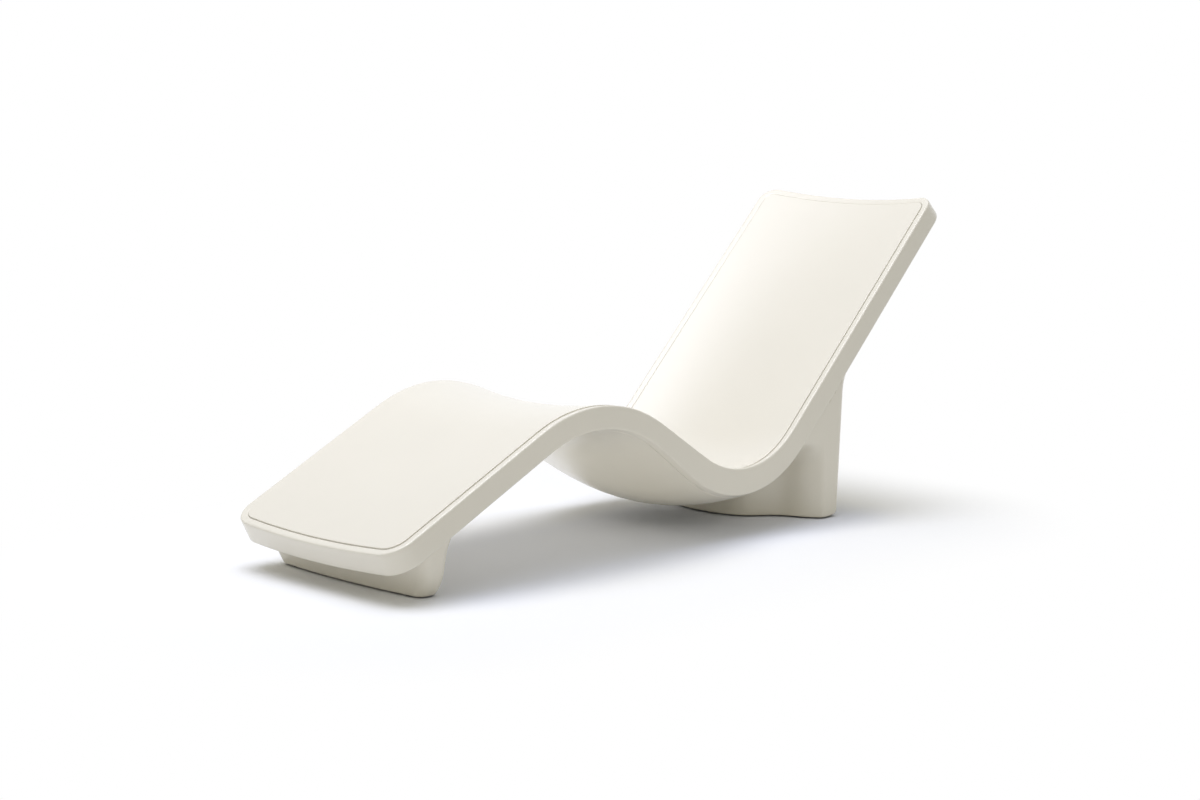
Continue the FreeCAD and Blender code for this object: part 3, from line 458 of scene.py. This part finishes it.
def maths(tree, operation, first, second):
    """A sum, product or the like of two values, each a socket or a number."""
    node = tree.nodes.new("ShaderNodeMath")
    node.operation = operation
    for slot, value in enumerate((first, second)):
        if isinstance(value, (int, float)):
            node.inputs[slot].default_value = value
        else:
            link(tree, value, node.inputs[slot])
    return node.outputs[0]


def tinted(tree, colour, factor):
    """A colour made lighter or darker by a factor."""
    node = tree.nodes.new("ShaderNodeVectorMath")
    node.operation = "SCALE"
    link(tree, colour, node.inputs[0])
    link(tree, factor, node.inputs["Scale"])
    return node.outputs[0]


def moulded_group():
    """Sprayed and polished shell: faint clouding of the tone, uneven gloss and orange peel."""
    inputs = [
        ("Vector", "NodeSocketVector", (0.0, 0.0, 0.0)),
        ("Colour", "NodeSocketColor", (0.8, 0.8, 0.8, 1.0)),
        ("Clouding", "NodeSocketFloat", 0.012),
        ("Roughness", "NodeSocketFloat", 0.35),
        ("Unevenness", "NodeSocketFloat", 0.05),
        ("Peel Size", "NodeSocketFloat", 260.0),
    ]
    outputs = [("Colour", "NodeSocketColor"), ("Roughness", "NodeSocketFloat"), ("Height", "NodeSocketFloat")]
    tree, start, end = group_with("moulded_shell", inputs, outputs)
    vector = start.outputs["Vector"]
    cloud = ranged(tree, noise(tree, vector, scale=3.5, detail=4.0), -1.0, 1.0)
    tone = maths(tree, "MULTIPLY_ADD", cloud, start.outputs["Clouding"])
    tone.node.inputs[2].default_value = 1.0
    link(tree, tinted(tree, start.outputs["Colour"], tone), end.inputs["Colour"])
    patches = ranged(tree, noise(tree, vector, scale=18.0, detail=5.0, roughness=0.65), -1.0, 1.0)
    gloss = maths(tree, "MULTIPLY", patches, start.outputs["Unevenness"])
    link(tree, maths(tree, "ADD", gloss, start.outputs["Roughness"]), end.inputs["Roughness"])
    peel = tree.nodes.new("ShaderNodeTexNoise")
    peel.inputs["Detail"].default_value = 1.0
    link(tree, vector, peel.inputs["Vector"])
    link(tree, start.outputs["Peel Size"], peel.inputs["Scale"])
    link(tree, peel.outputs["Fac"], end.inputs["Height"])
    return tree


GRAIN_STRETCH = (0.06, 1.0, 1.0)
FIGURE_SHARE = 0.6


def grained_group():
    """Rotary-cut birch: long fibres, darker late wood and fine pores."""
    inputs = [
        ("Vector", "NodeSocketVector", (0.0, 0.0, 0.0)),
        ("Pale", "NodeSocketColor", (0.6, 0.45, 0.28, 1.0)),
        ("Dark", "NodeSocketColor", (0.4, 0.26, 0.14, 1.0)),
        ("Fibre Size", "NodeSocketFloat", 90.0),
    ]
    outputs = [("Colour", "NodeSocketColor"), ("Roughness", "NodeSocketFloat"), ("Height", "NodeSocketFloat")]
    tree, start, end = group_with("wood_grain", inputs, outputs)
    stretch = tree.nodes.new("ShaderNodeMapping")
    stretch.inputs["Scale"].default_value = GRAIN_STRETCH
    link(tree, start.outputs["Vector"], stretch.inputs["Vector"])
    figure = noise(tree, stretch.outputs["Vector"], scale=30.0, detail=4.0)
    fibre = tree.nodes.new("ShaderNodeTexNoise")
    fibre.inputs["Detail"].default_value = 6.0
    link(tree, stretch.outputs["Vector"], fibre.inputs["Vector"])
    link(tree, start.outputs["Fibre Size"], fibre.inputs["Scale"])
    wide = maths(tree, "MULTIPLY", figure, FIGURE_SHARE)
    fine = maths(tree, "MULTIPLY", fibre.outputs["Fac"], 1 - FIGURE_SHARE)
    share = ranged(tree, maths(tree, "ADD", wide, fine), 0.0, 1.0, from_low=0.38, from_high=0.62)
    mix = tree.nodes.new("ShaderNodeMix")
    mix.data_type = "RGBA"
    link(tree, share, mix.inputs["Factor"])
    link(tree, start.outputs["Pale"], mix.inputs["A"])
    link(tree, start.outputs["Dark"], mix.inputs["B"])
    link(tree, mix.outputs["Result"], end.inputs["Colour"])
    link(tree, ranged(tree, fibre.outputs["Fac"], 0.55, 0.75), end.inputs["Roughness"])
    link(tree, fibre.outputs["Fac"], end.inputs["Height"])
    return tree


def finish_on(name, group, values, relief):
    """A material whose colour, gloss and bump come from a group, and its shader.

    Relief is the bump's strength and its height in metres.
    """
    material = bpy.data.materials.new(name)
    material.use_nodes = True
    tree = material.node_tree
    shader = tree.nodes["Principled BSDF"]
    place = tree.nodes.new("ShaderNodeTexCoord")
    finish = tree.nodes.new("ShaderNodeGroup")
    finish.node_tree = group
    link(tree, place.outputs["Object"], finish.inputs["Vector"])
    for socket, value in values.items():
        finish.inputs[socket].default_value = value
    bump = tree.nodes.new("ShaderNodeBump")
    bump.inputs["Strength"].default_value, bump.inputs["Distance"].default_value = relief
    link(tree, finish.outputs["Height"], bump.inputs["Height"])
    link(tree, finish.outputs["Colour"], shader.inputs["Base Color"])
    link(tree, finish.outputs["Roughness"], shader.inputs["Roughness"])
    link(tree, bump.outputs["Normal"], shader.inputs["Normal"])
    return material, shader


MOULDED = moulded_group()
GRAINED = grained_group()


def shell_material():
    """Warm ivory gelcoat with a satin polish."""
    values = {"Colour": (0.78, 0.745, 0.65, 1.0), "Clouding": 0.012, "Roughness": 0.34,
              "Unevenness": 0.03, "Peel Size": 240.0}
    material, shader = finish_on("ivory_gelcoat", MOULDED, values, relief=(0.05, 0.0004))
    shader.inputs["Coat Weight"].default_value = 0.8
    shader.inputs["Coat Roughness"].default_value = 0.25
    return material


def seal_material():
    """Flexible grey sealant; its colour is also darkened as painted shade for the shadow in the joint."""
    # Painted shade: the sealant's grey is darker than its own to stand for the joint's shadow
    values = {"Colour": (0.45, 0.43, 0.37, 1.0), "Clouding": 0.03, "Roughness": 0.55,
              "Unevenness": 0.08, "Peel Size": 900.0}
    return finish_on("joint_sealant", MOULDED, values, relief=(0.15, 0.0003))[0]


def rubber_material():
    """Black moulded rubber."""
    values = {"Colour": (0.022, 0.022, 0.022, 1.0), "Clouding": 0.12, "Roughness": 0.68,
              "Unevenness": 0.10, "Peel Size": 1500.0}
    return finish_on("sole_rubber", MOULDED, values, relief=(0.35, 0.0002))[0]


def foam_material():
    """Cream rigid foam board with an open, cut face."""
    values = {"Colour": (0.72, 0.66, 0.48, 1.0), "Clouding": 0.05, "Roughness": 0.85,
              "Unevenness": 0.06, "Peel Size": 700.0}
    return finish_on("foam_board", MOULDED, values, relief=(0.6, 0.0008))[0]


def plywood_material():
    """Unfinished birch plywood."""
    values = {"Pale": (0.60, 0.44, 0.27, 1.0), "Dark": (0.42, 0.28, 0.15, 1.0), "Fibre Size": 110.0}
    return finish_on("birch_plywood", GRAINED, values, relief=(0.25, 0.0003))[0]


def steel_material():
    """Zinc-plated steel with faint clouding."""
    values = {"Colour": (0.60, 0.61, 0.62, 1.0), "Clouding": 0.06, "Roughness": 0.30,
              "Unevenness": 0.12, "Peel Size": 1800.0}
    material, shader = finish_on("plated_steel", MOULDED, values, relief=(0.08, 0.0001))
    shader.inputs["Metallic"].default_value = 1.0
    return material


FINISHES = {
    "ivory_shell": shell_material(),
    "sealant": seal_material(),
    "sole_rubber": rubber_material(),
    "foam": foam_material(),
    "plywood": plywood_material(),
    "steel": steel_material(),
}


def finish_cad_nodes():
    """Give every node of the frame the finish of its material slot."""
    for subpart in frame["record"]["subparts"]:
        node = frame["nodes"][subpart["node"]]
        for place in node.material_slots:
            place.material = FINISHES[subpart["material_slot"]]


# The bed's skins


def rounded(before, corner, after, radius, steps):
    """Rings along the arc that rounds a corner between two others, place by place."""
    back, ahead = unit(before - corner), unit(after - corner)
    half = np.arccos(np.clip(np.sum(back * ahead, axis=-1), -1.0, 1.0))[:, None] / 2
    reach = radius / np.tan(half)
    centre = corner + unit(back + ahead) * radius / np.sin(half)
    first, last = unit(corner + back * reach - centre), unit(corner + ahead * reach - centre)
    turn = math.pi - 2 * half
    rings = []
    for share in np.linspace(0, 1, steps + 1):
        way = first * np.sin((1 - share) * turn) + last * np.sin(share * turn)
        rings.append(centre + way / np.sin(turn) * radius)
    return rings


def between(first, last, steps):
    """Rings between two others, their ends left out."""
    return [first + (last - first) * share for share in np.linspace(0, 1, steps + 1)[1:-1]]


def rim_skin():
    """The band all round: a soft bead on top, a flat side and a rounded lower edge."""
    inner = inset_outline(RIM_WIDTH)
    outer = inset_outline(0.0)
    low_seam = TOP.raised(*inner, -PANEL_DEPTH)
    seam, arris = TOP.at(*inner), TOP.at(*outer)
    lower, pan_seam = UNDER.at(*outer), UNDER.at(*inner)
    high_pan_seam = UNDER.raised(*inner, PAN_THICKNESS)
    rings = [low_seam] + rounded(low_seam, seam, arris, EDGE_ROUNDING, ARRIS_STEPS)
    top_edge = rounded(seam, arris, lower, RIM_TOP_ROUNDING, BEAD_STEPS)
    rings += between(rings[-1], top_edge[0], TOP_RINGS) + top_edge
    under_edge = rounded(arris, lower, pan_seam, RIM_UNDER_ROUNDING, BEAD_STEPS)
    rings += between(rings[-1], under_edge[0], SIDE_RINGS) + under_edge
    pan_edge = rounded(lower, pan_seam, high_pan_seam, EDGE_ROUNDING, ARRIS_STEPS)
    rings += between(rings[-1], pan_edge[0], UNDER_RINGS) + pan_edge + [high_pan_seam]
    mesh = Mesh()
    numbers = [mesh.add(ring) for ring in rings]
    for first, second in zip(numbers, numbers[1:] + numbers[:1]):
        mesh.join(first, second)
    return mesh.finished("rim_skin", FINISHES["ivory_shell"])


def plate_skin(name, surface, inset, face, back):
    """A closed plate whose face and back stand at two heights off one of the bed's surfaces."""
    edge = inset_outline(inset)
    inner = inset_outline(inset + EDGE_ROUNDING)
    deep, arris = surface.raised(*edge, back), surface.raised(*edge, face)
    towards = surface.raised(*inset_outline(2 * inset), face)
    rings = [deep] + rounded(deep, arris, towards, EDGE_ROUNDING, ARRIS_STEPS + 1)
    mesh = Mesh()
    numbers = [mesh.add(ring) for ring in rings]
    for first, second in zip(numbers, numbers[1:]):
        mesh.join(first, second)
    mesh.cover(numbers[-1], np.stack(inner, axis=-1), lambda s, y: surface.raised(s, y, face))
    mesh.cover(numbers[0], np.stack(edge, axis=-1), lambda s, y: surface.raised(s, y, back))
    return mesh.finished(name, FINISHES["ivory_shell"])


def seal_skin():
    """The sealant strip in the joint, its face drawn in a little."""
    margin = SEAL_MARGIN_SHARE * SEAL_WIDTH
    near, far = RIM_WIDTH + margin, RIM_WIDTH + SEAL_WIDTH - margin
    insets = (near, near, (near + far) / 2, far, far)
    hollow = SEAL_HOLLOW_SHARE * SEAL_RECESS
    heights = (-PANEL_DEPTH, -SEAL_RECESS, -hollow, -SEAL_RECESS, -PANEL_DEPTH)
    mesh = Mesh()
    numbers = [mesh.add(TOP.raised(*inset_outline(inset), height)) for inset, height in zip(insets, heights)]
    for first, second in zip(numbers, numbers[1:] + numbers[:1]):
        mesh.join(first, second)
    return mesh.finished("seal_skin", FINISHES["sealant"])


# The rear plinth's skin


def through(points, count):
    """Evenly spaced places on the smooth line through points."""
    points = np.array(points, float)
    gaps = np.linalg.norm(np.diff(points, axis=0), axis=1)
    knots = np.concatenate([[0], np.cumsum(gaps)])
    matrix, right = np.eye(len(points)), np.zeros_like(points)
    slopes = np.diff(points, axis=0) / gaps[:, None]
    for index in range(1, len(points) - 1):
        before, after = gaps[index - 1], gaps[index]
        matrix[index, index - 1:index + 2] = before, 2 * (before + after), after
        right[index] = 6 * (slopes[index] - slopes[index - 1])
    bends = np.linalg.solve(matrix, right)
    places = np.linspace(0, knots[-1], count)
    start = np.clip(np.searchsorted(knots, places, "right") - 1, 0, len(points) - 2)
    gap = gaps[start][:, None]
    late = ((places - knots[start]) / gaps[start])[:, None]
    early = 1 - late
    bent = (early ** 3 - early) * bends[start] + (late ** 3 - late) * bends[start + 1]
    return early * points[start] + late * points[start + 1] + bent * gap ** 2 / 6


def rear_face():
    """The rear face seen from the side, from the floor gap up into the underside."""
    lean = np.array([math.sin(REAR_LEAN), math.cos(REAR_LEAN)])
    foot = np.array([foot_end_x() + REAR_NOSE + REAR_LENGTH, FLOOR_GAP])
    back = UNDER_EDGE.runs()[2]
    corner = crossing(foot, lean, UNDER_EDGE.corners[2], back)
    low, high = corner - lean * SWEEP_DOWN, corner + back * SWEEP_UP
    places = np.linspace(0, 1, SWEEP_STEPS + 1)[:, None]
    sweep = (1 - places) ** 2 * low + 2 * places * (1 - places) * corner + places ** 2 * high
    return np.vstack([foot, sweep, corner + back])


REAR_FACE = rear_face()


def recess_line():
    """The hollow side's plan, from the nose to the corner post."""
    nose = foot_end_x() + REAR_NOSE
    post = REAR_LENGTH - REAR_POST
    side = through([(nose + post * along, REAR_HALF * across) for along, across in RECESS_PLAN], RECESS_STEPS)
    side[:, 1] = -POST_SOFTNESS * np.logaddexp(-side[:, 1] / POST_SOFTNESS, -REAR_HALF / POST_SOFTNESS)
    return side


PLAN_STEPS = (NOSE_STEPS, RECESS_STEPS, POST_STEPS, UPRIGHT_STEPS, FACE_STEPS)
HALF_PLAN = sum(PLAN_STEPS)


def widened(across, level):
    """A place on the hollow side, moved out to the post's side as the hollow closes upwards."""
    closing = smoothstep((level - RECESS_START) / (RECESS_END - RECESS_START))
    return across + (REAR_HALF - across) * closing


def rear_half_plan(level):
    """Half the plinth's plan, from the nose to the middle of the rear face, at a height for each column."""
    nose, recess, post, upright, face = np.split(level, np.cumsum(PLAN_STEPS)[:-1])
    side = recess_line()
    rear = [np.interp(part, REAR_FACE[:, 1], REAR_FACE[:, 0]) for part in (post, upright, face)]
    run = np.linspace(0, 1, POST_STEPS + 1)[1:]
    angles = np.linspace(0, math.pi / 2, UPRIGHT_STEPS + 1)[1:]
    along = [
        np.full(NOSE_STEPS, side[0, 0]),
        side[:, 0],
        side[-1, 0] + (rear[0] - REAR_CORNER - side[-1, 0]) * run,
        rear[1] - REAR_CORNER + REAR_CORNER * np.sin(angles),
        rear[2],
    ]
    across = [
        widened(side[0, 1], nose) * np.linspace(0, 1, NOSE_STEPS + 1)[:-1],
        widened(side[:, 1], recess),
        np.full(POST_STEPS, REAR_HALF),
        REAR_HALF - REAR_CORNER * (1 - np.cos(angles)),
        (REAR_HALF - REAR_CORNER) * np.linspace(1, 0, FACE_STEPS + 1)[1:],
    ]
    return np.stack([np.concatenate(along), np.concatenate(across)], axis=-1)


def rear_ring(height, inset):
    """The plinth's outline at a height above the floor for each column, moved in by an inset."""
    height = np.broadcast_to(np.asarray(height, float), (2 * HALF_PLAN - 2,))
    plan = rear_half_plan(height[:HALF_PLAN])
    ring = np.vstack([plan, plan[-2:0:-1] * [1, -1]])
    ahead = unit(np.roll(ring, -1, axis=0) - np.roll(ring, 1, axis=0))
    ring = ring + np.stack([ahead[:, 1], -ahead[:, 0]], axis=-1) * np.reshape(inset, (-1, 1))
    return np.column_stack([ring, height])


def stacked(rings, name):
    """A closed block from rings, one above the other, with flat ends."""
    mesh = Mesh()
    numbers = [mesh.add(ring) for ring in rings]
    for first, second in zip(numbers, numbers[1:]):
        mesh.join(first, second)
    mesh.faces += [tuple(numbers[0]), tuple(numbers[-1])]
    return mesh.finished(name, FINISHES["ivory_shell"])


def above_underside(name, gap):
    """A block that fills what lies above the underside and a gap below it."""
    distances = np.linspace(BLOCK_START, LENGTH - SIDE_OVERRUN, BLOCK_STATIONS)
    across = np.linspace(-HALF_WIDTH - SIDE_OVERRUN, HALF_WIDTH + SIDE_OVERRUN, BLOCK_COLUMNS)
    rings = []
    for distance in distances:
        low = UNDER.raised(np.full_like(across, distance), across, -gap)
        high = low[::-1] + [0.0, 0.0, BLOCK_HEIGHT]
        rings.append(np.vstack([low, high]))
    return stacked(rings, name)


def cut_from(piece, tool):
    """Take one block out of another."""
    change = piece.modifiers.new("cut", "BOOLEAN")
    change.operation = "DIFFERENCE"
    change.solver = "EXACT"
    change.object = tool
    result = bpy.data.meshes.new_from_object(piece.evaluated_get(bpy.context.evaluated_depsgraph_get()))
    piece.modifiers.remove(change)
    piece.data = result


def foot_roundings():
    """How far the plinth's lower edge is rounded, more so at the two rear corners."""
    plan = rear_ring(FLOOR_GAP, 0.0)
    rear = foot_end_x() + REAR_NOSE + REAR_LENGTH
    apart = np.hypot(plan[:, 0] - rear, np.abs(plan[:, 1]) - REAR_HALF)
    nearness = 1 - smoothstep(apart / CORNER_REACH)
    return FOOT_ROUNDING + (CORNER_FOOT_ROUNDING - FOOT_ROUNDING) * nearness


def rear_plinth_skin():
    """The rear plinth's shell: a nose, two recesses that close softly upwards and two corner posts."""
    rounding = foot_roundings()
    rings = []
    for angle in np.linspace(0, math.pi / 2, FOOT_STEPS + 1):
        height, inset = rounding * (1 - math.cos(angle)), rounding * (1 - math.sin(angle))
        rings.append(rear_ring(FLOOR_GAP + height, inset))
    low = FLOOR_GAP + rounding
    for share in np.linspace(0, 1, SHELL_LEVELS + 1)[1:]:
        rings.append(rear_ring(low + (PLINTH_TOP - low) * share, 0.0))
    shell = stacked(rings, "rear_plinth_skin")
    levels = np.linspace(FLOOR_GAP - FLOOR_OVERRUN, PLINTH_TOP, ROOM_LEVELS)
    room = stacked([rear_ring(level, PLINTH_WALL) for level in levels], "rear_plinth_room")
    over = above_underside("over", PLINTH_GAP)
    roof = above_underside("roof", PLINTH_GAP + PLINTH_ROOF)
    cut_from(room, roof)
    cut_from(shell, over)
    cut_from(shell, room)
    for tool in (room, over, roof):
        bpy.data.objects.remove(tool)
    return shell


def stand_for(piece, node):
    """Let a piece take a node's place on the bed."""
    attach(piece, "bed")
    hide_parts(node)


# The studio


AMBIENT, AMBIENT_COLOUR = 0.43, (0.985, 0.965, 0.86)
LAMP_COLOUR = (1.0, 1.02, 1.14)
LAMPS = (
    # Name, place, target, width, depth and power
    ("overhead", (0.0, 0.5, 5.0), (0.1, 0.2, 0.0), 6.0, 5.0, 90.0),
    ("foot_side", (-1.2, 0.8, 4.0), (0.0, 0.0, 0.0), 2.6, 2.6, 72.0),
)

CAMERA_FROM_FOOT_END = (-3.2438, -4.2903, 1.2476)
CAMERA_YAW, CAMERA_PITCH, CAMERA_ROLL = math.radians(45.47), math.radians(8.445), math.radians(0.12)
CAMERA_LENS = 69.08


def camera():
    """The camera at the photograph's viewing angle."""
    ahead = Vector((math.cos(CAMERA_YAW) * math.cos(CAMERA_PITCH),
                    math.sin(CAMERA_YAW) * math.cos(CAMERA_PITCH), -math.sin(CAMERA_PITCH)))
    level = Vector((math.sin(CAMERA_YAW), -math.cos(CAMERA_YAW), 0.0))
    upward = level.cross(ahead)
    right = level * math.cos(CAMERA_ROLL) + upward * math.sin(CAMERA_ROLL)
    upward = right.cross(ahead)
    lens = bpy.data.cameras.new("camera")
    lens.lens = CAMERA_LENS
    eye = bpy.data.objects.new("camera", lens)
    place = Vector(CAMERA_FROM_FOOT_END) + Vector((foot_end_x(), 0.0, 0.0))
    eye.matrix_world = Matrix((right, upward, -ahead)).transposed().to_4x4()
    eye.location = place
    bpy.context.scene.collection.objects.link(eye)
    bpy.context.scene.camera = eye


def lamp(name, place, target, width, depth, power):
    """A soft rectangular lamp turned towards a place."""
    light = bpy.data.lights.new(name, "AREA")
    light.shape = "RECTANGLE"
    light.size, light.size_y = width, depth
    light.energy = power
    light.color = LAMP_COLOUR
    holder = bpy.data.objects.new(name, light)
    holder.location = place
    holder.rotation_euler = (Vector(target) - Vector(place)).to_track_quat("-Z", "Y").to_euler()
    bpy.context.scene.collection.objects.link(holder)


def seen_directly(tree):
    """One for rays that see a surface straight, in a mirror or through glass."""
    path = tree.nodes.new("ShaderNodeLightPath")
    seen = maths(tree, "MAXIMUM", path.outputs["Is Camera Ray"], path.outputs["Is Glossy Ray"])
    return maths(tree, "MAXIMUM", seen, path.outputs["Is Transmission Ray"])



def surroundings():
    """Even, slightly warm light from all round, behind it a background that shows as plain white."""
    world = bpy.data.worlds.new("studio")
    bpy.context.scene.world = world
    world.use_nodes = True
    tree = world.node_tree
    ambient = tree.nodes["Background"]
    ambient.inputs["Color"].default_value = (*AMBIENT_COLOUR, 1.0)
    ambient.inputs["Strength"].default_value = AMBIENT
    white = tree.nodes.new("ShaderNodeBackground")
    white.inputs["Color"].default_value = (1.0, 1.0, 1.0, 1.0)
    mix = tree.nodes.new("ShaderNodeMixShader")
    link(tree, seen_directly(tree), mix.inputs["Fac"])
    link(tree, ambient.outputs["Background"], mix.inputs[1])
    link(tree, white.outputs["Background"], mix.inputs[2])
    link(tree, mix.outputs["Shader"], tree.nodes["World Output"].inputs["Surface"])


FLOOR_REACH = 12.0
FLOOR_ROUGHNESS = 0.9
# The second tone is painted shadow: the floor is darker and cooler under the body, so its shadow comes out
# deeper and neutral grey
FLOOR_TONE, PAINTED_SHADOW_TONE = (0.975, 0.985, 1.0, 1.0), (0.87, 0.90, 1.0, 1.0)
FLOOR_BOUNCE = (0.92, 0.92, 0.92, 1.0)
# Painted light: the floor glows under the arch, hidden from the camera, to lighten the bed's underside
ARCH_GLOW = 0.40

# Areas of the floor: middle, half length and width, and where a change starts and ends outside them
FADED_AREA = ((-0.21, 0.0), (0.79, 0.32), (0.03, 0.68))
# Painted shadow: the area under the body where the floor takes its darker, cooler tone
PAINTED_SHADOW_AREA = ((-0.10, -0.10), (0.66, 0.18), (0.02, 0.24))
# Where the floor's painted glow lies, under the arch
ARCH_AREA = ((-0.38, 0.0), (0.10, 0.10), (0.02, 0.42))


def soft_step(tree, value, start, end, first=0.0, last=1.0):
    """A value that passes softly from one level to another."""
    ramp = tree.nodes.new("ShaderNodeMapRange")
    ramp.interpolation_type = "SMOOTHSTEP"
    ramp.inputs["From Min"].default_value, ramp.inputs["From Max"].default_value = start, end
    ramp.inputs["To Min"].default_value, ramp.inputs["To Max"].default_value = first, last
    link(tree, value, ramp.inputs["Value"])
    return ramp.outputs["Result"]


def leaving(tree, place, area, first=0.0, last=1.0):
    """A value that changes softly from inside an area of the floor to outside it."""
    middle, reach, change = area
    apart = tree.nodes.new("ShaderNodeSeparateXYZ")
    link(tree, place.outputs["Object"], apart.inputs["Vector"])
    squares = []
    for axis, centre, half in zip("XY", middle, reach):
        away = maths(tree, "ABSOLUTE", maths(tree, "SUBTRACT", apart.outputs[axis], centre), 0.0)
        beyond = maths(tree, "MAXIMUM", maths(tree, "SUBTRACT", away, half), 0.0)
        squares.append(maths(tree, "POWER", beyond, 2.0))
    distance = maths(tree, "POWER", maths(tree, "ADD", *squares), 0.5)
    return soft_step(tree, distance, *change, first, last)


def blended(tree, factor, first, second):
    """A blend of two colours, each a socket or a colour."""
    mix = tree.nodes.new("ShaderNodeMix")
    mix.data_type = "RGBA"
    link(tree, factor, mix.inputs["Factor"])
    for socket, colour in (("A", first), ("B", second)):
        if isinstance(colour, tuple):
            mix.inputs[socket].default_value = colour
        else:
            link(tree, colour, mix.inputs[socket])
    return mix.outputs["Result"]


def floor_material():
    """A plain pale floor: it fades into the background, is darker and cooler under the body as painted
    shadow, and glows unseen under the arch as painted light on the bed's underside.
    """
    material = bpy.data.materials.new("floor")
    material.use_nodes = True
    tree = material.node_tree
    shader = tree.nodes["Principled BSDF"]
    shader.inputs["Roughness"].default_value = FLOOR_ROUGHNESS
    shader.inputs["Specular IOR Level"].default_value = 0.0
    place = tree.nodes.new("ShaderNodeTexCoord")
    seen = seen_directly(tree)
    # Painted shadow: the camera sees a darker, cooler floor under the body
    shown = blended(tree, leaving(tree, place, PAINTED_SHADOW_AREA), PAINTED_SHADOW_TONE, FLOOR_TONE)
    link(tree, blended(tree, seen, FLOOR_BOUNCE, shown), shader.inputs["Base Color"])
    white = tree.nodes.new("ShaderNodeEmission")
    fade = tree.nodes.new("ShaderNodeMixShader")
    link(tree, maths(tree, "MULTIPLY", leaving(tree, place, FADED_AREA), seen), fade.inputs["Fac"])
    link(tree, shader.outputs["BSDF"], fade.inputs[1])
    link(tree, white.outputs["Emission"], fade.inputs[2])
    # Painted light: a glow from the floor under the arch that the camera does not see
    glow = tree.nodes.new("ShaderNodeEmission")
    unseen = maths(tree, "SUBTRACT", 1.0, seen)
    painted_glow_strength = leaving(tree, place, ARCH_AREA, ARCH_GLOW, 0.0)
    link(tree, maths(tree, "MULTIPLY", painted_glow_strength, unseen), glow.inputs["Strength"])
    both = tree.nodes.new("ShaderNodeAddShader")
    link(tree, fade.outputs["Shader"], both.inputs[0])
    link(tree, glow.outputs["Emission"], both.inputs[1])
    link(tree, both.outputs["Shader"], tree.nodes["Material Output"].inputs["Surface"])
    return material


def floor():
    """The floor, kept out of the object as part of the stage."""
    mesh = bpy.data.meshes.new("floor")
    corners = [(x * FLOOR_REACH, y * FLOOR_REACH, 0.0) for x, y in ((-1, -1), (1, -1), (1, 1), (-1, 1))]
    mesh.from_pydata(corners, [], [(0, 1, 2, 3)])
    mesh.materials.append(floor_material())
    piece = bpy.data.objects.new("floor", mesh)
    bpy.context.scene.collection.objects.link(piece)


camera()
surroundings()
floor()
for values in LAMPS:
    lamp(*values)
bpy.context.scene.view_settings.view_transform = "Standard"

finish_cad_nodes()
stand_for(rim_skin(), "rim_band")
panel_inset = RIM_WIDTH + SEAL_WIDTH
stand_for(plate_skin("panel_skin", TOP, panel_inset, PANEL_STAND, -PANEL_DEPTH), "seat_panel")
pan_inset = RIM_WIDTH + PAN_GAP
stand_for(plate_skin("pan_skin", UNDER, pan_inset, 0.0, PAN_THICKNESS), "underside_pan")
stand_for(seal_skin(), "panel_seal")
stand_for(rear_plinth_skin(), "rear_plinth")
